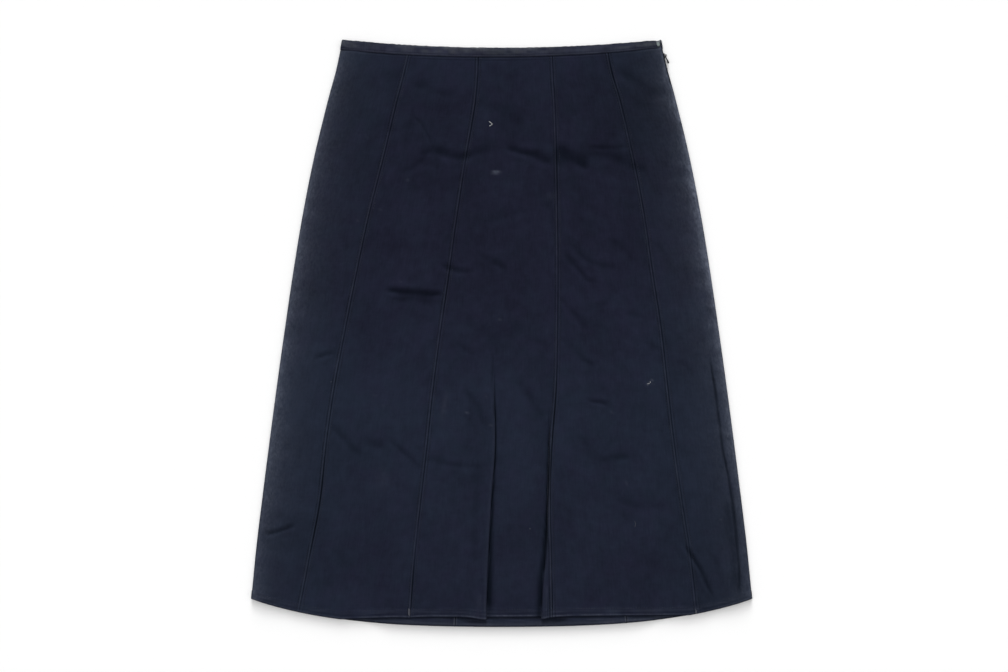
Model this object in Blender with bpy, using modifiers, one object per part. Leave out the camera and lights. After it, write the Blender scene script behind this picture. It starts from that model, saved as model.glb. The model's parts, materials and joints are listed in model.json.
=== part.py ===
"""A gored A-line skirt with a soft inverted pleat at the centre front, laid flat on a surface.

The skirt lies on its back: five back gores rest on the surface (z = 0) and five front gores lie on
them. X runs across the skirt, Y runs up its length to the waist, Z is up. The origin is at the
middle of the footprint. Lengths below are in millimetres and are turned into metres where a vertex
is written.
"""

import math
from collections import namedtuple

import bmesh
import bpy
from mathutils import Matrix

MM = 0.001

# ---- driving sizes, in millimetres ---------------------------------------------------------------
WALL = 1.0                 # thickness of the cloth
GAP = 0.3                  # clear space between pieces that touch
BAND_HEIGHT = 10.2         # finished height of the narrow waistband
BAND_WALL = 1.8            # the waistband is cloth folded double
WAIST_HALF = 183.0         # half the flat waist
HEM_HALF = 287.5           # half the flat hem, at the side folds
OVERALL_LENGTH = 673.8     # from the waist corners to the lowest point of the hem
WAIST_DIP = 9.2            # the waist edge is this much lower at the centre than at its corners
HEM_SWEEP_2 = 13.3         # the hem climbs to the side folds by these two amounts,
HEM_SWEEP_4 = 18.9         # one with the square and one with the fourth power of the distance out
FRONT_LIFT = 11.0          # the back hem shows this far below the front hem
FRONT_LIFT_MIDDLE = 15.0   # where it shows most
FRONT_LIFT_REACH = 200.0   # and how far out from there it stops showing
BACK_WAIST_DROP = 1.5      # the back waist edge lies this much lower than the front one

FOLD_MIDDLE = 2.4          # height at which the front and back edges meet in the side folds
FRONT_LOW = 1.9            # height of the middle of the front cloth where it lies on the back
FRONT_WAIST = 3.0          # the same at the waistband, where four layers lie together
WAIST_SETTLE = 0.08        # the front comes down from there over this share of the length
EDGE_OPENING = 0.5         # height between the front and back edges in the side folds
BAND_OPENING = 0.7         # the same at the ends of the thicker waistband
FRONT_NOSE = 1.5           # radius at which the front turns down at the very edge of the side fold
FRONT_ROLL_TOP = 4.8       # height of the middle of the front cloth along the top of the side folds
FRONT_ROLL_WIDTH = 14.0    # distance in from the edge to that highest line
ROLL_FADE = 24.0           # how far in from the side fold the front settles on to the back

PLEAT_RUN = 10.5           # length of the straight layer hidden in each pleat fold at the hem
PLEAT_PITCH = 2.0          # height from one layer of the pleat to the next
PLEAT_RAMP = 22.0          # width over which the cloth climbs on to the folded layers
LEFT_PLEAT_TOP = 0.55      # where the two pleat folds begin, as a share of the length
RIGHT_PLEAT_TOP = 0.63
PLEAT_TURN = 0.12          # a fold turns right under over this share of the length
PLEAT_RISEN = 0.8          # and is at its full height after this share of that turn
PLEAT_GATHER = 0.3         # its points have gathered on the two turns after this share
PLEAT_CLOTH = 16.8         # width of the cloth that each fold takes up
CREASE_DEPTH = 1.1         # the long crease beside the right-hand side fold
CREASE_INSET = 10.5
CREASE_WIDTH = 2.2
CREASE_TOP = 0.42          # it begins here, as a share of the length,
CREASE_GROW = 0.2          # and reaches its depth over this share

ZIP_LENGTH = 180.0         # coil and tape, from the waistband down
ZIP_WIDTH = 7.0
ZIP_WALL = 1.0
ZIP_MIDDLE = 2.2           # height of the middle of the tape
ZIP_UNDER_SLIDER = 1.2     # the coil shows this far below the slider, which leans with the fold
ZIP_INSET = 2.5            # the coil lies this far inside the side fold
PLACKET_OPENING = 3.6      # the cloth edges stand this far apart at the top of the zip
PLACKET_DROP = 0.066       # and close again by this share of the length
SLIDER_DROP = 7.6          # middle of the slider, below the waistband
SLIDER_LENGTH = 6.4
SLIDER_INNER = 3.6         # how far the slider reaches in from the side fold
SLIDER_WALL = 1.3
BAIL_REACH = 3.6           # how far the slider's loop stands out from its face
BAIL_WALL = 0.8
PIVOT_OUT = 1.5            # the pull tab turns about a line this far out from the slider's face
PULL_LENGTH = 10.6
PULL_WIDTH = 3.4
PULL_WALL = 1.8
PULL_HEAD = 0.55           # the bar of the pull tab at its pivot, to each side of it
PULL_WINDOW = 4.4          # end of the slot in the pull tab that takes the loop
PULL_RIM = 0.75            # metal left beside that slot
PULL_ANGLE = 20.0          # rest angle, outwards from straight down

HOOK_WIRE = 0.9
EYE_HEIGHT = 3.0           # height of the eye's wire; the hook's wire crosses just over it
HOOK_START = 177.0         # the front waistband stops here, short of the right-hand side fold
HOOK_DROP = 4.3            # middle of the hook and eye, below the waist edge
HOOK_REACH = 1.6
HOOK_RADIUS = 1.0
HOOK_FOOT = 1.5            # half the distance between the feet of the hook's wire
EYE_RADIUS = 2.1

# Lines of the front, one row for each section from the waist edge (down = 0) to the hem (down = 1).
# Each value is the distance out from the middle of the footprint: the side fold, then four seams.
Section = namedtuple("Section", "down side seam_1 seam_2 seam_3 seam_4")
FRONT_SECTIONS = (
    Section(0.00, 183.0, -106.0, -28.0, 56.5, 119.0),
    Section(0.05, 190.0, -113.5, -29.0, 58.0, 125.5),
    Section(0.10, 199.0, -122.0, -32.0, 60.0, 135.0),
    Section(0.20, 215.0, -137.5, -43.0, 62.0, 150.0),
    Section(0.30, 228.0, -154.0, -53.0, 63.0, 162.5),
    Section(0.40, 238.8, -168.0, -62.0, 63.5, 172.0),
    Section(0.50, 248.3, -181.0, -71.5, 63.0, 182.0),
    Section(0.60, 257.3, -193.5, -80.0, 61.5, 189.5),
    Section(0.70, 265.7, -203.0, -87.0, 56.5, 197.0),
    Section(0.80, 273.7, -210.0, -94.5, 54.5, 206.0),
    Section(0.90, 281.3, -222.0, -101.5, 56.0, 216.0),
    Section(1.00, 287.5, -234.0, -106.5, 57.0, 223.5),
)

# The two visible edges of the pleat, in the lower half of the centre-front gore.
PleatSection = namedtuple("PleatSection", "down left right")
PLEAT_SECTIONS = (
    PleatSection(0.50, -9.5, 55.0),
    PleatSection(0.60, -9.0, 55.0),
    PleatSection(0.70, -8.0, 54.0),
    PleatSection(0.80, -12.5, 51.5),
    PleatSection(0.90, -16.0, 48.0),
    PleatSection(1.00, -18.0, 44.5),
)

# The back seams run straight from the waistband to the hem.
BackSeam = namedtuple("BackSeam", "waist hem")
BACK_SEAMS = (
    BackSeam(-100.0, -186.0),
    BackSeam(-24.0, -53.5),
    BackSeam(60.0, 144.0),
    BackSeam(122.0, 231.0),
)

ROWS = 24
BAND_COLUMNS = 22


# ---- curves of the skirt -------------------------------------------------------------------------
def read_table(rows, column, down):
    """Read one column of a table at any share of the length, on a smooth curve through its rows."""
    places = [row.down for row in rows]
    values = [getattr(row, column) for row in rows]
    down = min(max(down, places[0]), places[-1])
    at = max(index for index in range(len(places) - 1) if places[index] <= down)
    step = places[at + 1] - places[at]
    share = (down - places[at]) / step

    def slope(index):
        before = max(index - 1, 0)
        after = min(index + 1, len(places) - 1)
        return (values[after] - values[before]) / (places[after] - places[before])

    square = share * share
    cube = square * share
    return ((2 * cube - 3 * square + 1) * values[at]
            + (cube - 2 * square + share) * step * slope(at)
            + (3 * square - 2 * cube) * values[at + 1]
            + (cube - square) * step * slope(at + 1))


def ease(value, start, end):
    """Go smoothly from 0 at start to 1 at end."""
    share = min(max((value - start) / (end - start), 0.0), 1.0)
    return share * share * (3 - 2 * share)


def waist_line(x):
    """Height up the skirt of the finished waist edge."""
    return OVERALL_LENGTH / 2 - WAIST_DIP * max(1 - (x / WAIST_HALF) ** 2, 0.0)


def back_hem_line(x):
    out = x / HEM_HALF
    return -OVERALL_LENGTH / 2 + HEM_SWEEP_2 * out ** 2 + HEM_SWEEP_4 * out ** 4


def front_hem_line(x):
    out = min(abs(x - FRONT_LIFT_MIDDLE) / FRONT_LIFT_REACH, 1.0)
    return back_hem_line(x) + FRONT_LIFT * (1 - out ** 3)


def side_line(down):
    return read_table(FRONT_SECTIONS, "side", down)


def gore_place(x, share, hem, top_drop):
    """Place along the length at a share of the way from a gore's top edge to its hem."""
    top = waist_line(x) - top_drop
    return top + (hem(x) - top) * share


# ---- height of the cloth -------------------------------------------------------------------------
Fold = namedtuple("Fold", "turn angle rise run")
PLEAT_RADIUS = PLEAT_PITCH / 2


def fold_shape(down, top):
    """One pleat fold at a place down the skirt.

    turn goes from 0, flat, to 1, folded right under; angle is what the cloth turns through, rise
    the height that it reaches, and run the length of straight cloth between its two turns.
    """
    turn = min(max((down - top) / PLEAT_TURN, 0.0), 1.0)
    angle = math.pi * turn
    rise = 2 * PLEAT_PITCH * ease(turn, 0.0, PLEAT_RISEN)
    if turn < 1:
        run = max(rise - PLEAT_PITCH * (1 - math.cos(angle)), 0.0) / max(math.sin(angle), 0.05)
    else:
        run = PLEAT_RUN * (down - top - PLEAT_TURN) / (1 - top - PLEAT_TURN)
    return Fold(turn, angle, rise, run)


def fold_leads(down, top):
    """Widths of flat cloth on the top and lower side of a fold, which it has not yet taken in."""
    fold = fold_shape(down, top)
    spare = max(PLEAT_CLOTH - PLEAT_PITCH * fold.angle - fold.run, 0.0)
    if top == LEFT_PLEAT_TOP:
        return spare / 2, spare / 2
    flap = read_table(FRONT_SECTIONS, "seam_3", down) - read_table(PLEAT_SECTIONS, "right", down)
    upper = min(spare / 2, max(flap - PLEAT_RADIUS - GAP, 0.0))
    return upper, spare - upper


def fold_reach(down, top):
    """Distance from a fold's visible edge over which its top layer stays up: past the hidden layer."""
    fold = fold_shape(down, top)
    start = PLEAT_RADIUS * math.sin(min(fold.angle, math.pi / 2))
    reach = start + fold_leads(down, top)[0]
    if fold.angle > math.pi / 2:
        back = PLEAT_RADIUS * math.sin(fold.angle) + fold.run * math.cos(fold.angle)
        reach = max(reach, start - back + PLEAT_RADIUS + WALL)
    return reach


def nose_rise(inset, radius):
    """Rise of a quarter circle that starts upright at the edge of the side fold."""
    return math.sqrt(max(radius ** 2 - (radius - max(inset, 0.0)) ** 2, 0.0))


def front_low(down):
    """Height of the middle of the front cloth away from the folds: it rises to the waistband."""
    return FRONT_LOW + (FRONT_WAIST - FRONT_LOW) * (1 - ease(down, 0.0, WAIST_SETTLE))


def front_height(x, down):
    """Height of the middle of the front cloth, pleat mounds, side rolls and long crease included."""
    side = side_line(down)
    inset = side - abs(x)
    lying = front_low(down)
    shoulder = FOLD_MIDDLE + FRONT_NOSE
    if inset < FRONT_NOSE:
        height = FOLD_MIDDLE + nose_rise(inset, FRONT_NOSE)
    elif inset < FRONT_ROLL_WIDTH:
        share = (inset - FRONT_NOSE) / (FRONT_ROLL_WIDTH - FRONT_NOSE)
        height = shoulder + (FRONT_ROLL_TOP - shoulder) * math.sin(math.pi / 2 * share)
    else:
        settle = (inset - FRONT_ROLL_WIDTH) / ROLL_FADE
        height = lying + (FRONT_ROLL_TOP - lying) * math.exp(-settle * settle)
    if x > 0:
        depth = CREASE_DEPTH * ease(down, CREASE_TOP, CREASE_TOP + CREASE_GROW)
        height -= depth * math.exp(-((inset - CREASE_INSET) / CREASE_WIDTH) ** 2)
    left = read_table(PLEAT_SECTIONS, "left", down)
    right = read_table(PLEAT_SECTIONS, "right", down)
    if x < (left + right) / 2:
        top = LEFT_PLEAT_TOP
        away = left - fold_reach(down, top) - x
    else:
        top = RIGHT_PLEAT_TOP
        away = x - right - fold_reach(down, top)
    return height + fold_shape(down, top).rise * (1 - ease(away, 0.0, PLEAT_RAMP))


def back_height(x, down, wall=WALL):
    """Height of the middle of the back cloth: flat, then rounding up into the side fold."""
    inset = side_line(down) - abs(x)
    radius = FOLD_MIDDLE - wall / 2
    return FOLD_MIDDLE - nose_rise(min(inset, radius), radius)


def nose_insets(opening, radius, steps=4):
    """Distances in from the side fold of the points round one nose, for an opening between edges."""
    start = math.asin(min(opening / 2 / radius, 1.0))
    shares = [(step / steps) ** 1.5 for step in range(steps + 1)]
    return [radius * (1 - math.cos(start + (math.pi / 2 - start) * share)) for share in shares]


def side_opening(sign, down):
    """Space between the front and back edges in the side fold: wider at the top of the zip."""
    if sign < 0:
        return EDGE_OPENING
    return EDGE_OPENING + (PLACKET_OPENING - EDGE_OPENING) * max(1 - down / PLACKET_DROP, 0.0)


# ---- making objects ------------------------------------------------------------------------------
def cloth_material(name, colour, roughness, metallic=0.0):
    material = bpy.data.materials.new(name)
    material.use_nodes = True
    shader = material.node_tree.nodes["Principled BSDF"]
    shader.inputs["Base Color"].default_value = (*colour, 1.0)
    shader.inputs["Roughness"].default_value = roughness
    shader.inputs["Metallic"].default_value = metallic
    return material


def add_object(name, data, collection, material):
    piece = bpy.data.objects.new(name, data)
    piece.data.materials.append(material)
    collection.objects.link(piece)
    return piece


def add_sheet(name, columns, rows, place, wall, collection, material):
    """Make an open grid, put each point where place(column, row) says, and give it a thickness."""
    grid = bmesh.new()
    bmesh.ops.create_grid(grid, x_segments=columns, y_segments=rows, size=0.5)
    for vertex in grid.verts:
        column = round((vertex.co.x + 0.5) * columns)
        row = round((0.5 - vertex.co.y) * rows)
        x, y, z = place(column, row)
        vertex.co = (x * MM, y * MM, z * MM)
    mesh = bpy.data.meshes.new(name)
    grid.to_mesh(mesh)
    grid.free()
    piece = add_object(name, mesh, collection, material)
    thickness = piece.modifiers.new("cloth wall", "SOLIDIFY")
    thickness.thickness = wall * MM
    thickness.offset = 0.0
    return piece


def spread(start, end, count):
    return [start + (end - start) * index / (count - 1) for index in range(count)]


# ---- front gores ---------------------------------------------------------------------------------
GORE_TOP = BAND_HEIGHT + GAP


def row_down(row):
    """Share of the length from the waist edge at a row of points: rows start under the waistband."""
    start = GORE_TOP / OVERALL_LENGTH
    return start + (1 - start) * row / ROWS


# Distances in from the side fold at which a side gore has its columns of points, past its nose.
ROLL_COLUMNS = (4.5, 8.2, 10.5, 13.0, 19.0, 30.0)


def side_front_columns(sign, down, seam):
    insets = nose_insets(side_opening(sign, down), FRONT_NOSE) + list(ROLL_COLUMNS)
    columns = [sign * (side_line(down) - inset) for inset in insets]
    columns += spread(columns[-1], seam + sign * GAP / 2, 4)[1:]
    return columns


def add_side_front(name, sign, seam_name, collection, material):
    def place(column, row):
        down = row_down(row)
        seam = read_table(FRONT_SECTIONS, seam_name, down)
        x = side_front_columns(sign, down, seam)[column]
        return x, gore_place(x, row / ROWS, front_hem_line, GORE_TOP), front_height(x, down)

    columns = len(side_front_columns(sign, 1.0, 0.0)) - 1
    add_sheet(name, columns, ROWS, place, WALL, collection, material)


# Columns of points of the gores beside the centre one: close together where the pleat lifts the cloth.
PLAIN_SHARES = (0.0, 0.25, 0.5, 0.75, 1.0)
PLEAT_SIDE_SHARES = (0.0, 0.04, 0.08, 0.12, 0.17, 0.45, 0.75, 1.0)


def add_mid_front(name, left_seam, right_seam, shares, collection, material):
    """shares are the places of the columns of points, as shares of the gore's width."""
    def place(column, row):
        down = row_down(row)
        left = read_table(FRONT_SECTIONS, left_seam, down) + GAP / 2
        right = read_table(FRONT_SECTIONS, right_seam, down) - GAP / 2
        x = left + (right - left) * shares[column]
        return x, gore_place(x, row / ROWS, front_hem_line, GORE_TOP), front_height(x, down)

    add_sheet(name, len(shares) - 1, ROWS, place, WALL, collection, material)


ARC_STEPS = 5                         # steps round each turn of a pleat fold
RAMP_SHARES = (0.0, 0.35, 0.7, 1.0)   # where the climb on to the left fold has its points
RAMP_ROOM = 4.0                       # the climb needs this much flat cloth before it


def fold_points(down, top, low):
    """Section of one pleat fold: points (out, z), where out is measured from its visible edge.

    The cloth comes in along the top layer, turns round the visible edge, runs back underneath,
    turns again and goes on as the lower layer. Its points are evenly spread where it is still
    flat, and gather on the two turns as the fold forms.
    """
    turn, angle, rise, run = fold_shape(down, top)
    upper, lower = fold_leads(down, top)
    gathered = min(turn / PLEAT_GATHER, 1.0)
    arc_length = PLEAT_RADIUS * angle
    lower_turn = arc_length + run
    start = -PLEAT_RADIUS * math.sin(min(angle, math.pi / 2))
    turned_x = start + PLEAT_RADIUS * math.sin(angle)
    turned_z = low + rise - PLEAT_RADIUS * (1 - math.cos(angle))
    below_x = turned_x + run * math.cos(angle)
    below_z = turned_z - run * math.sin(angle)
    total = upper + lower_turn + arc_length + lower
    points = []
    count = 2 * ARC_STEPS + 2
    for index in range(count):
        even = total * index / (count - 1)
        if index <= ARC_STEPS:
            bent = upper + arc_length * index / ARC_STEPS
        else:
            bent = upper + lower_turn + arc_length * (index - ARC_STEPS - 1) / ARC_STEPS
        along = even + (bent - even) * gathered - upper
        if along < 0:
            x = start + along
            z = low + rise
        elif along < arc_length:
            bend = along / PLEAT_RADIUS
            x = start + PLEAT_RADIUS * math.sin(bend)
            z = low + rise - PLEAT_RADIUS * (1 - math.cos(bend))
        elif along < lower_turn:
            share = (along - arc_length) / run
            x = turned_x + (below_x - turned_x) * share
            z = turned_z + (below_z - turned_z) * share
        elif along < lower_turn + arc_length:
            bend = angle - (along - lower_turn) / PLEAT_RADIUS
            x = below_x + PLEAT_RADIUS * (math.sin(angle) - math.sin(bend))
            z = below_z - PLEAT_RADIUS * (math.cos(bend) - math.cos(angle))
        else:
            x = below_x + PLEAT_RADIUS * math.sin(angle) + along - lower_turn - arc_length
            z = low
        points.append((x, z))
    return points


def centre_section(down):
    """The centre-front gore's section: points (x, z) from its left seam to its right one."""
    low = front_low(down)
    first = read_table(FRONT_SECTIONS, "seam_2", down) + GAP / 2
    last = read_table(FRONT_SECTIONS, "seam_3", down) - GAP / 2
    left = read_table(PLEAT_SECTIONS, "left", down)
    right = read_table(PLEAT_SECTIONS, "right", down)
    left_fold = [(left + out, z) for out, z in fold_points(down, LEFT_PLEAT_TOP, low)]
    right_fold = [(right - out, z) for out, z in fold_points(down, RIGHT_PLEAT_TOP, low)][::-1]
    climb = left - fold_reach(down, LEFT_PLEAT_TOP) - PLEAT_RAMP
    approach = [first, (first + climb) / 2] + [climb + PLEAT_RAMP * share for share in RAMP_SHARES]
    if climb < first + RAMP_ROOM:
        approach = spread(first, left_fold[0][0], len(approach) + 1)[:-1]
    strip = [(x, low) for x in spread(left_fold[-1][0], right_fold[0][0], 5)[1:-1]]
    return ([(x, front_height(x, down)) for x in approach] + left_fold + strip + right_fold
            + [(last, front_height(last, down))])


def add_centre_front(name, collection, material):
    columns = len(centre_section(1.0)) - 1

    def place(column, row):
        down = row_down(row)
        x, z = centre_section(down)[column]
        return x, gore_place(x, row / ROWS, front_hem_line, GORE_TOP), z

    add_sheet(name, columns, ROWS, place, WALL, collection, material)


# ---- back gores ----------------------------------------------------------------------------------
def back_seam(number, down):
    seam = BACK_SEAMS[number]
    return seam.waist + (seam.hem - seam.waist) * down


def side_back_columns(sign, down, seam):
    insets = nose_insets(side_opening(sign, down), FOLD_MIDDLE - WALL / 2) + [6.0]
    columns = [sign * (side_line(down) - inset) for inset in insets]
    return columns + spread(columns[-1], seam + sign * GAP / 2, 3)[1:]


def add_side_back(name, sign, number, collection, material):
    def place(column, row):
        down = row_down(row)
        x = side_back_columns(sign, down, back_seam(number, down))[column]
        y = gore_place(x, row / ROWS, back_hem_line, GORE_TOP + BACK_WAIST_DROP)
        return x, y, back_height(x, down)

    columns = len(side_back_columns(sign, 1.0, 0.0)) - 1
    add_sheet(name, columns, ROWS, place, WALL, collection, material)


def add_mid_back(name, number, collection, material):
    columns = 3

    def place(column, row):
        down = row_down(row)
        left = back_seam(number, down) + GAP / 2
        right = back_seam(number + 1, down) - GAP / 2
        x = left + (right - left) * column / columns
        y = gore_place(x, row / ROWS, back_hem_line, GORE_TOP + BACK_WAIST_DROP)
        return x, y, back_height(x, down)

    add_sheet(name, columns, ROWS, place, WALL, collection, material)


# ---- waistband -----------------------------------------------------------------------------------
def band_columns(left_insets, right_insets, side):
    """Distances across the band from its left end to its right end."""
    left = [inset - side for inset in left_insets]
    right = [side - inset for inset in reversed(right_insets)]
    return left + spread(left[-1], right[0], BAND_COLUMNS)[1:-1] + right


def add_waistband_front(name, collection, material):
    rows = 2
    left_insets = nose_insets(BAND_OPENING, FRONT_NOSE) + [4.5, 13.0]

    def band_place(row):
        down = BAND_HEIGHT / OVERALL_LENGTH * row / rows
        side = side_line(down)
        return down, band_columns(left_insets, [side - HOOK_START], side)

    def place(column, row):
        down, columns = band_place(row)
        x = columns[column]
        return x, waist_line(x) - BAND_HEIGHT * row / rows, front_height(x, down)

    columns = len(band_place(0)[1]) - 1
    add_sheet(name, columns, rows, place, BAND_WALL, collection, material)


def add_waistband_back(name, collection, material):
    rows = 2
    insets = nose_insets(BAND_OPENING, FOLD_MIDDLE - BAND_WALL / 2) + [6.0]

    def place(column, row):
        down = BAND_HEIGHT / OVERALL_LENGTH * row / rows
        x = band_columns(insets, insets, side_line(down))[column]
        y = waist_line(x) - BACK_WAIST_DROP - BAND_HEIGHT * row / rows
        return x, y, back_height(x, down, BAND_WALL)

    columns = len(band_columns(insets, insets, WAIST_HALF)) - 1
    add_sheet(name, columns, rows, place, BAND_WALL, collection, material)


# ---- zip -----------------------------------------------------------------------------------------
def side_fold_point(drop):
    """Point on the right-hand side fold at a distance below the waist edge."""
    height = waist_line(WAIST_HALF) - back_hem_line(HEM_HALF)
    return side_line(drop / height), waist_line(WAIST_HALF) - drop


def add_zip(name, collection, material):
    rows = 14
    first = BAND_HEIGHT + SLIDER_DROP + SLIDER_LENGTH / 2 + ZIP_UNDER_SLIDER
    last = BAND_HEIGHT + ZIP_LENGTH

    def place(column, row):
        x, y = side_fold_point(first + (last - first) * row / rows)
        return x - ZIP_INSET - ZIP_WIDTH * (1 - column / 2), y, ZIP_MIDDLE

    add_sheet(name, 2, rows, place, ZIP_WALL, collection, material)


def outline_curve(name, outlines, wall, collection, material):
    """A flat plate from closed outlines, given in millimetres: the first is outside, others are holes."""
    curve = bpy.data.curves.new(name, "CURVE")
    curve.dimensions = "2D"
    curve.fill_mode = "BOTH"
    curve.extrude = wall / 2 * MM
    for outline in outlines:
        spline = curve.splines.new("POLY")
        spline.points.add(len(outline) - 1)
        for point, (x, y) in zip(spline.points, outline):
            point.co = (x * MM, y * MM, 0.0, 1.0)
        spline.use_cyclic_u = True
    return add_object(name, curve, collection, material)


def rounded_box(left, right, bottom, top, radius, steps=3):
    """Corner points of a rectangle with rounded corners, in order round it."""
    corners = (
        (right - radius, top - radius, 0.0),
        (left + radius, top - radius, 90.0),
        (left + radius, bottom + radius, 180.0),
        (right - radius, bottom + radius, 270.0),
    )
    points = []
    for x, y, start in corners:
        for step in range(steps + 1):
            angle = math.radians(start + 90.0 * step / steps)
            points.append((x + radius * math.cos(angle), y + radius * math.sin(angle)))
    return points


def slider_frame():
    """Where the slider's face meets the side fold, and how far the fold leans from straight down."""
    x, y = side_fold_point(BAND_HEIGHT + SLIDER_DROP)
    lower_x, lower_y = side_fold_point(BAND_HEIGHT + SLIDER_DROP + SLIDER_LENGTH)
    lean = math.atan2(lower_x - x, y - lower_y)
    return x, y, lean


def add_slider(name, collection, material):
    x, y, lean = slider_frame()
    half = SLIDER_LENGTH / 2
    low = BAIL_WALL - half
    body = rounded_box(-SLIDER_INNER, BAIL_REACH, -half, half, 1.0)
    window = rounded_box(0.0, BAIL_REACH - BAIL_WALL, low, -low, 0.5)
    piece = outline_curve(name, [body, window], SLIDER_WALL, collection, material)
    piece.matrix_world = (Matrix.Translation((x * MM, y * MM, FOLD_MIDDLE * MM))
                          @ Matrix.Rotation(lean, 4, "Z"))


def pull_pivot():
    x, y, lean = slider_frame()
    return x + PIVOT_OUT * math.cos(lean), y + PIVOT_OUT * math.sin(lean)


def add_pull(name, collection, material):
    """The tab stands on edge, so that its slot passes round the slider's loop."""
    x, y = pull_pivot()
    half = PULL_WIDTH / 2
    slot = half - PULL_RIM
    tab = rounded_box(-PULL_HEAD, PULL_LENGTH - PULL_HEAD, -half, half, 0.9)
    window = rounded_box(PULL_HEAD, PULL_WINDOW, -slot, slot, 0.3)
    piece = outline_curve(name, [tab, window], PULL_WALL, collection, material)
    hang = math.radians(PULL_ANGLE - 90.0)
    piece.matrix_world = (Matrix.Translation((x * MM, y * MM, FOLD_MIDDLE * MM))
                          @ Matrix.Rotation(hang, 4, "Z")
                          @ Matrix.Rotation(math.radians(90.0), 4, "X"))


# ---- hook and eye --------------------------------------------------------------------------------
def add_wire(name, points, collection, material):
    curve = bpy.data.curves.new(name, "CURVE")
    curve.dimensions = "3D"
    curve.bevel_depth = HOOK_WIRE / 2 * MM
    curve.bevel_resolution = 1
    curve.use_fill_caps = True
    spline = curve.splines.new("POLY")
    spline.points.add(len(points) - 1)
    for point, (x, y, z) in zip(spline.points, points):
        point.co = (x * MM, y * MM, z * MM, 1.0)
    return add_object(name, curve, collection, material)


def arc(centre_x, centre_y, radius, start, end, steps):
    points = []
    for step in range(steps + 1):
        angle = math.radians(start + (end - start) * step / steps)
        points.append((centre_x + radius * math.cos(angle), centre_y + radius * math.sin(angle)))
    return points


def add_hook_and_eye(collection, material):
    """Two bent wires in the open corner of the waistband: the eye lies low, the hook crosses it."""
    middle_y = waist_line(HOOK_START) - HOOK_DROP
    hook_height = EYE_HEIGHT + HOOK_WIRE + GAP
    eye = arc(HOOK_START + EYE_RADIUS + HOOK_WIRE / 2 + GAP / 2, middle_y, EYE_RADIUS, -150.0, 150.0, 14)
    add_wire("eye", [(x, y, EYE_HEIGHT) for x, y in eye], collection, material)
    start = HOOK_START + GAP + HOOK_WIRE / 2
    hook = [(start, middle_y - HOOK_FOOT)]
    hook += arc(start + HOOK_REACH, middle_y, HOOK_RADIUS, -90.0, 90.0, 8)
    hook += [(start, middle_y + HOOK_FOOT)]
    add_wire("hook", [(x, y, hook_height) for x, y in hook], collection, material)


# ---- the skirt -----------------------------------------------------------------------------------
def clear_scene():
    for item in list(bpy.context.scene.objects):
        bpy.data.objects.remove(item, do_unlink=True)


def main():
    clear_scene()
    skirt = bpy.data.collections.new("gored_skirt")
    bpy.context.scene.collection.children.link(skirt)
    navy = (0.016, 0.021, 0.038)

    add_side_front("front_gore_1", -1, "seam_1", skirt, cloth_material("front gore 1 twill", navy, 0.85))
    add_mid_front("front_gore_2", "seam_1", "seam_2", PLAIN_SHARES, skirt,
                  cloth_material("front gore 2 twill", navy, 0.85))
    add_centre_front("front_gore_3", skirt, cloth_material("front gore 3 twill", navy, 0.85))
    add_mid_front("front_gore_4", "seam_3", "seam_4", PLEAT_SIDE_SHARES, skirt,
                  cloth_material("front gore 4 twill", navy, 0.85))
    add_side_front("front_gore_5", 1, "seam_4", skirt, cloth_material("front gore 5 twill", navy, 0.85))

    add_side_back("back_gore_1", -1, 0, skirt, cloth_material("back gore 1 twill", navy, 0.85))
    for number in range(3):
        name = f"back_gore_{number + 2}"
        add_mid_back(name, number, skirt, cloth_material(name.replace("_", " ") + " twill", navy, 0.85))
    add_side_back("back_gore_5", 1, 3, skirt, cloth_material("back gore 5 twill", navy, 0.85))

    add_waistband_front("waistband_front", skirt, cloth_material("front waistband twill", navy, 0.8))
    add_waistband_back("waistband_back", skirt, cloth_material("back waistband twill", navy, 0.8))

    add_zip("zip", skirt, cloth_material("zip tape and coil", (0.012, 0.014, 0.025), 0.6))
    add_slider("zip_slider", skirt, cloth_material("painted zip slider", (0.015, 0.015, 0.018), 0.4, 0.6))
    add_pull("zip_pull", skirt, cloth_material("painted zip pull", (0.015, 0.015, 0.018), 0.4, 0.6))
    add_hook_and_eye(skirt, cloth_material("hook and eye wire", (0.45, 0.47, 0.47), 0.35, 1.0))


main()
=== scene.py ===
# %% [markdown]
# # A gored skirt with a soft front pleat, laid flat
# The real skirt is cut from navy cotton twill: five shaped panels, or gores, at the front and five
# at the back, a narrow waistband, and a zip in the side seam. It lies on its back on a table, so it
# is a pile of soft layers only a few millimetres high. All of its character is in that small relief:
# seams that sink, stitches, a pleat that opens below the knee line, and creases from being stored.
#
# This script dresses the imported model. Every panel becomes a thin sheet of cloth with a fine grid of
# points. The sheet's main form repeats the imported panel, and a second function adds the relief.

import json
import math
from collections import namedtuple

import bmesh
import bpy
import numpy as np
from mathutils import Matrix


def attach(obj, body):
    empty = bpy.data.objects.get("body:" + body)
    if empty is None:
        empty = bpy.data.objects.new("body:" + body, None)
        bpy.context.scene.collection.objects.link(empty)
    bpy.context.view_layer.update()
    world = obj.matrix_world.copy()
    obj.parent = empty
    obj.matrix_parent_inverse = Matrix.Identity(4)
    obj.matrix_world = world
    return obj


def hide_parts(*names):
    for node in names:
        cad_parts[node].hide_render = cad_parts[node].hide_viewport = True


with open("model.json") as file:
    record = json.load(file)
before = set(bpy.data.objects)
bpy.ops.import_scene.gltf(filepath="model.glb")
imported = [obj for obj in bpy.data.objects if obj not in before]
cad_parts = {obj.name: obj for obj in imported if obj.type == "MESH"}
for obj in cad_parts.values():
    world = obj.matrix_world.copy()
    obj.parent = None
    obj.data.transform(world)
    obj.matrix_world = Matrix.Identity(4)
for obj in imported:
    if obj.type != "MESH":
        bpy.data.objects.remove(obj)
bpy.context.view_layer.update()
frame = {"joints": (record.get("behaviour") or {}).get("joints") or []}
MM = 0.001

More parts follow.
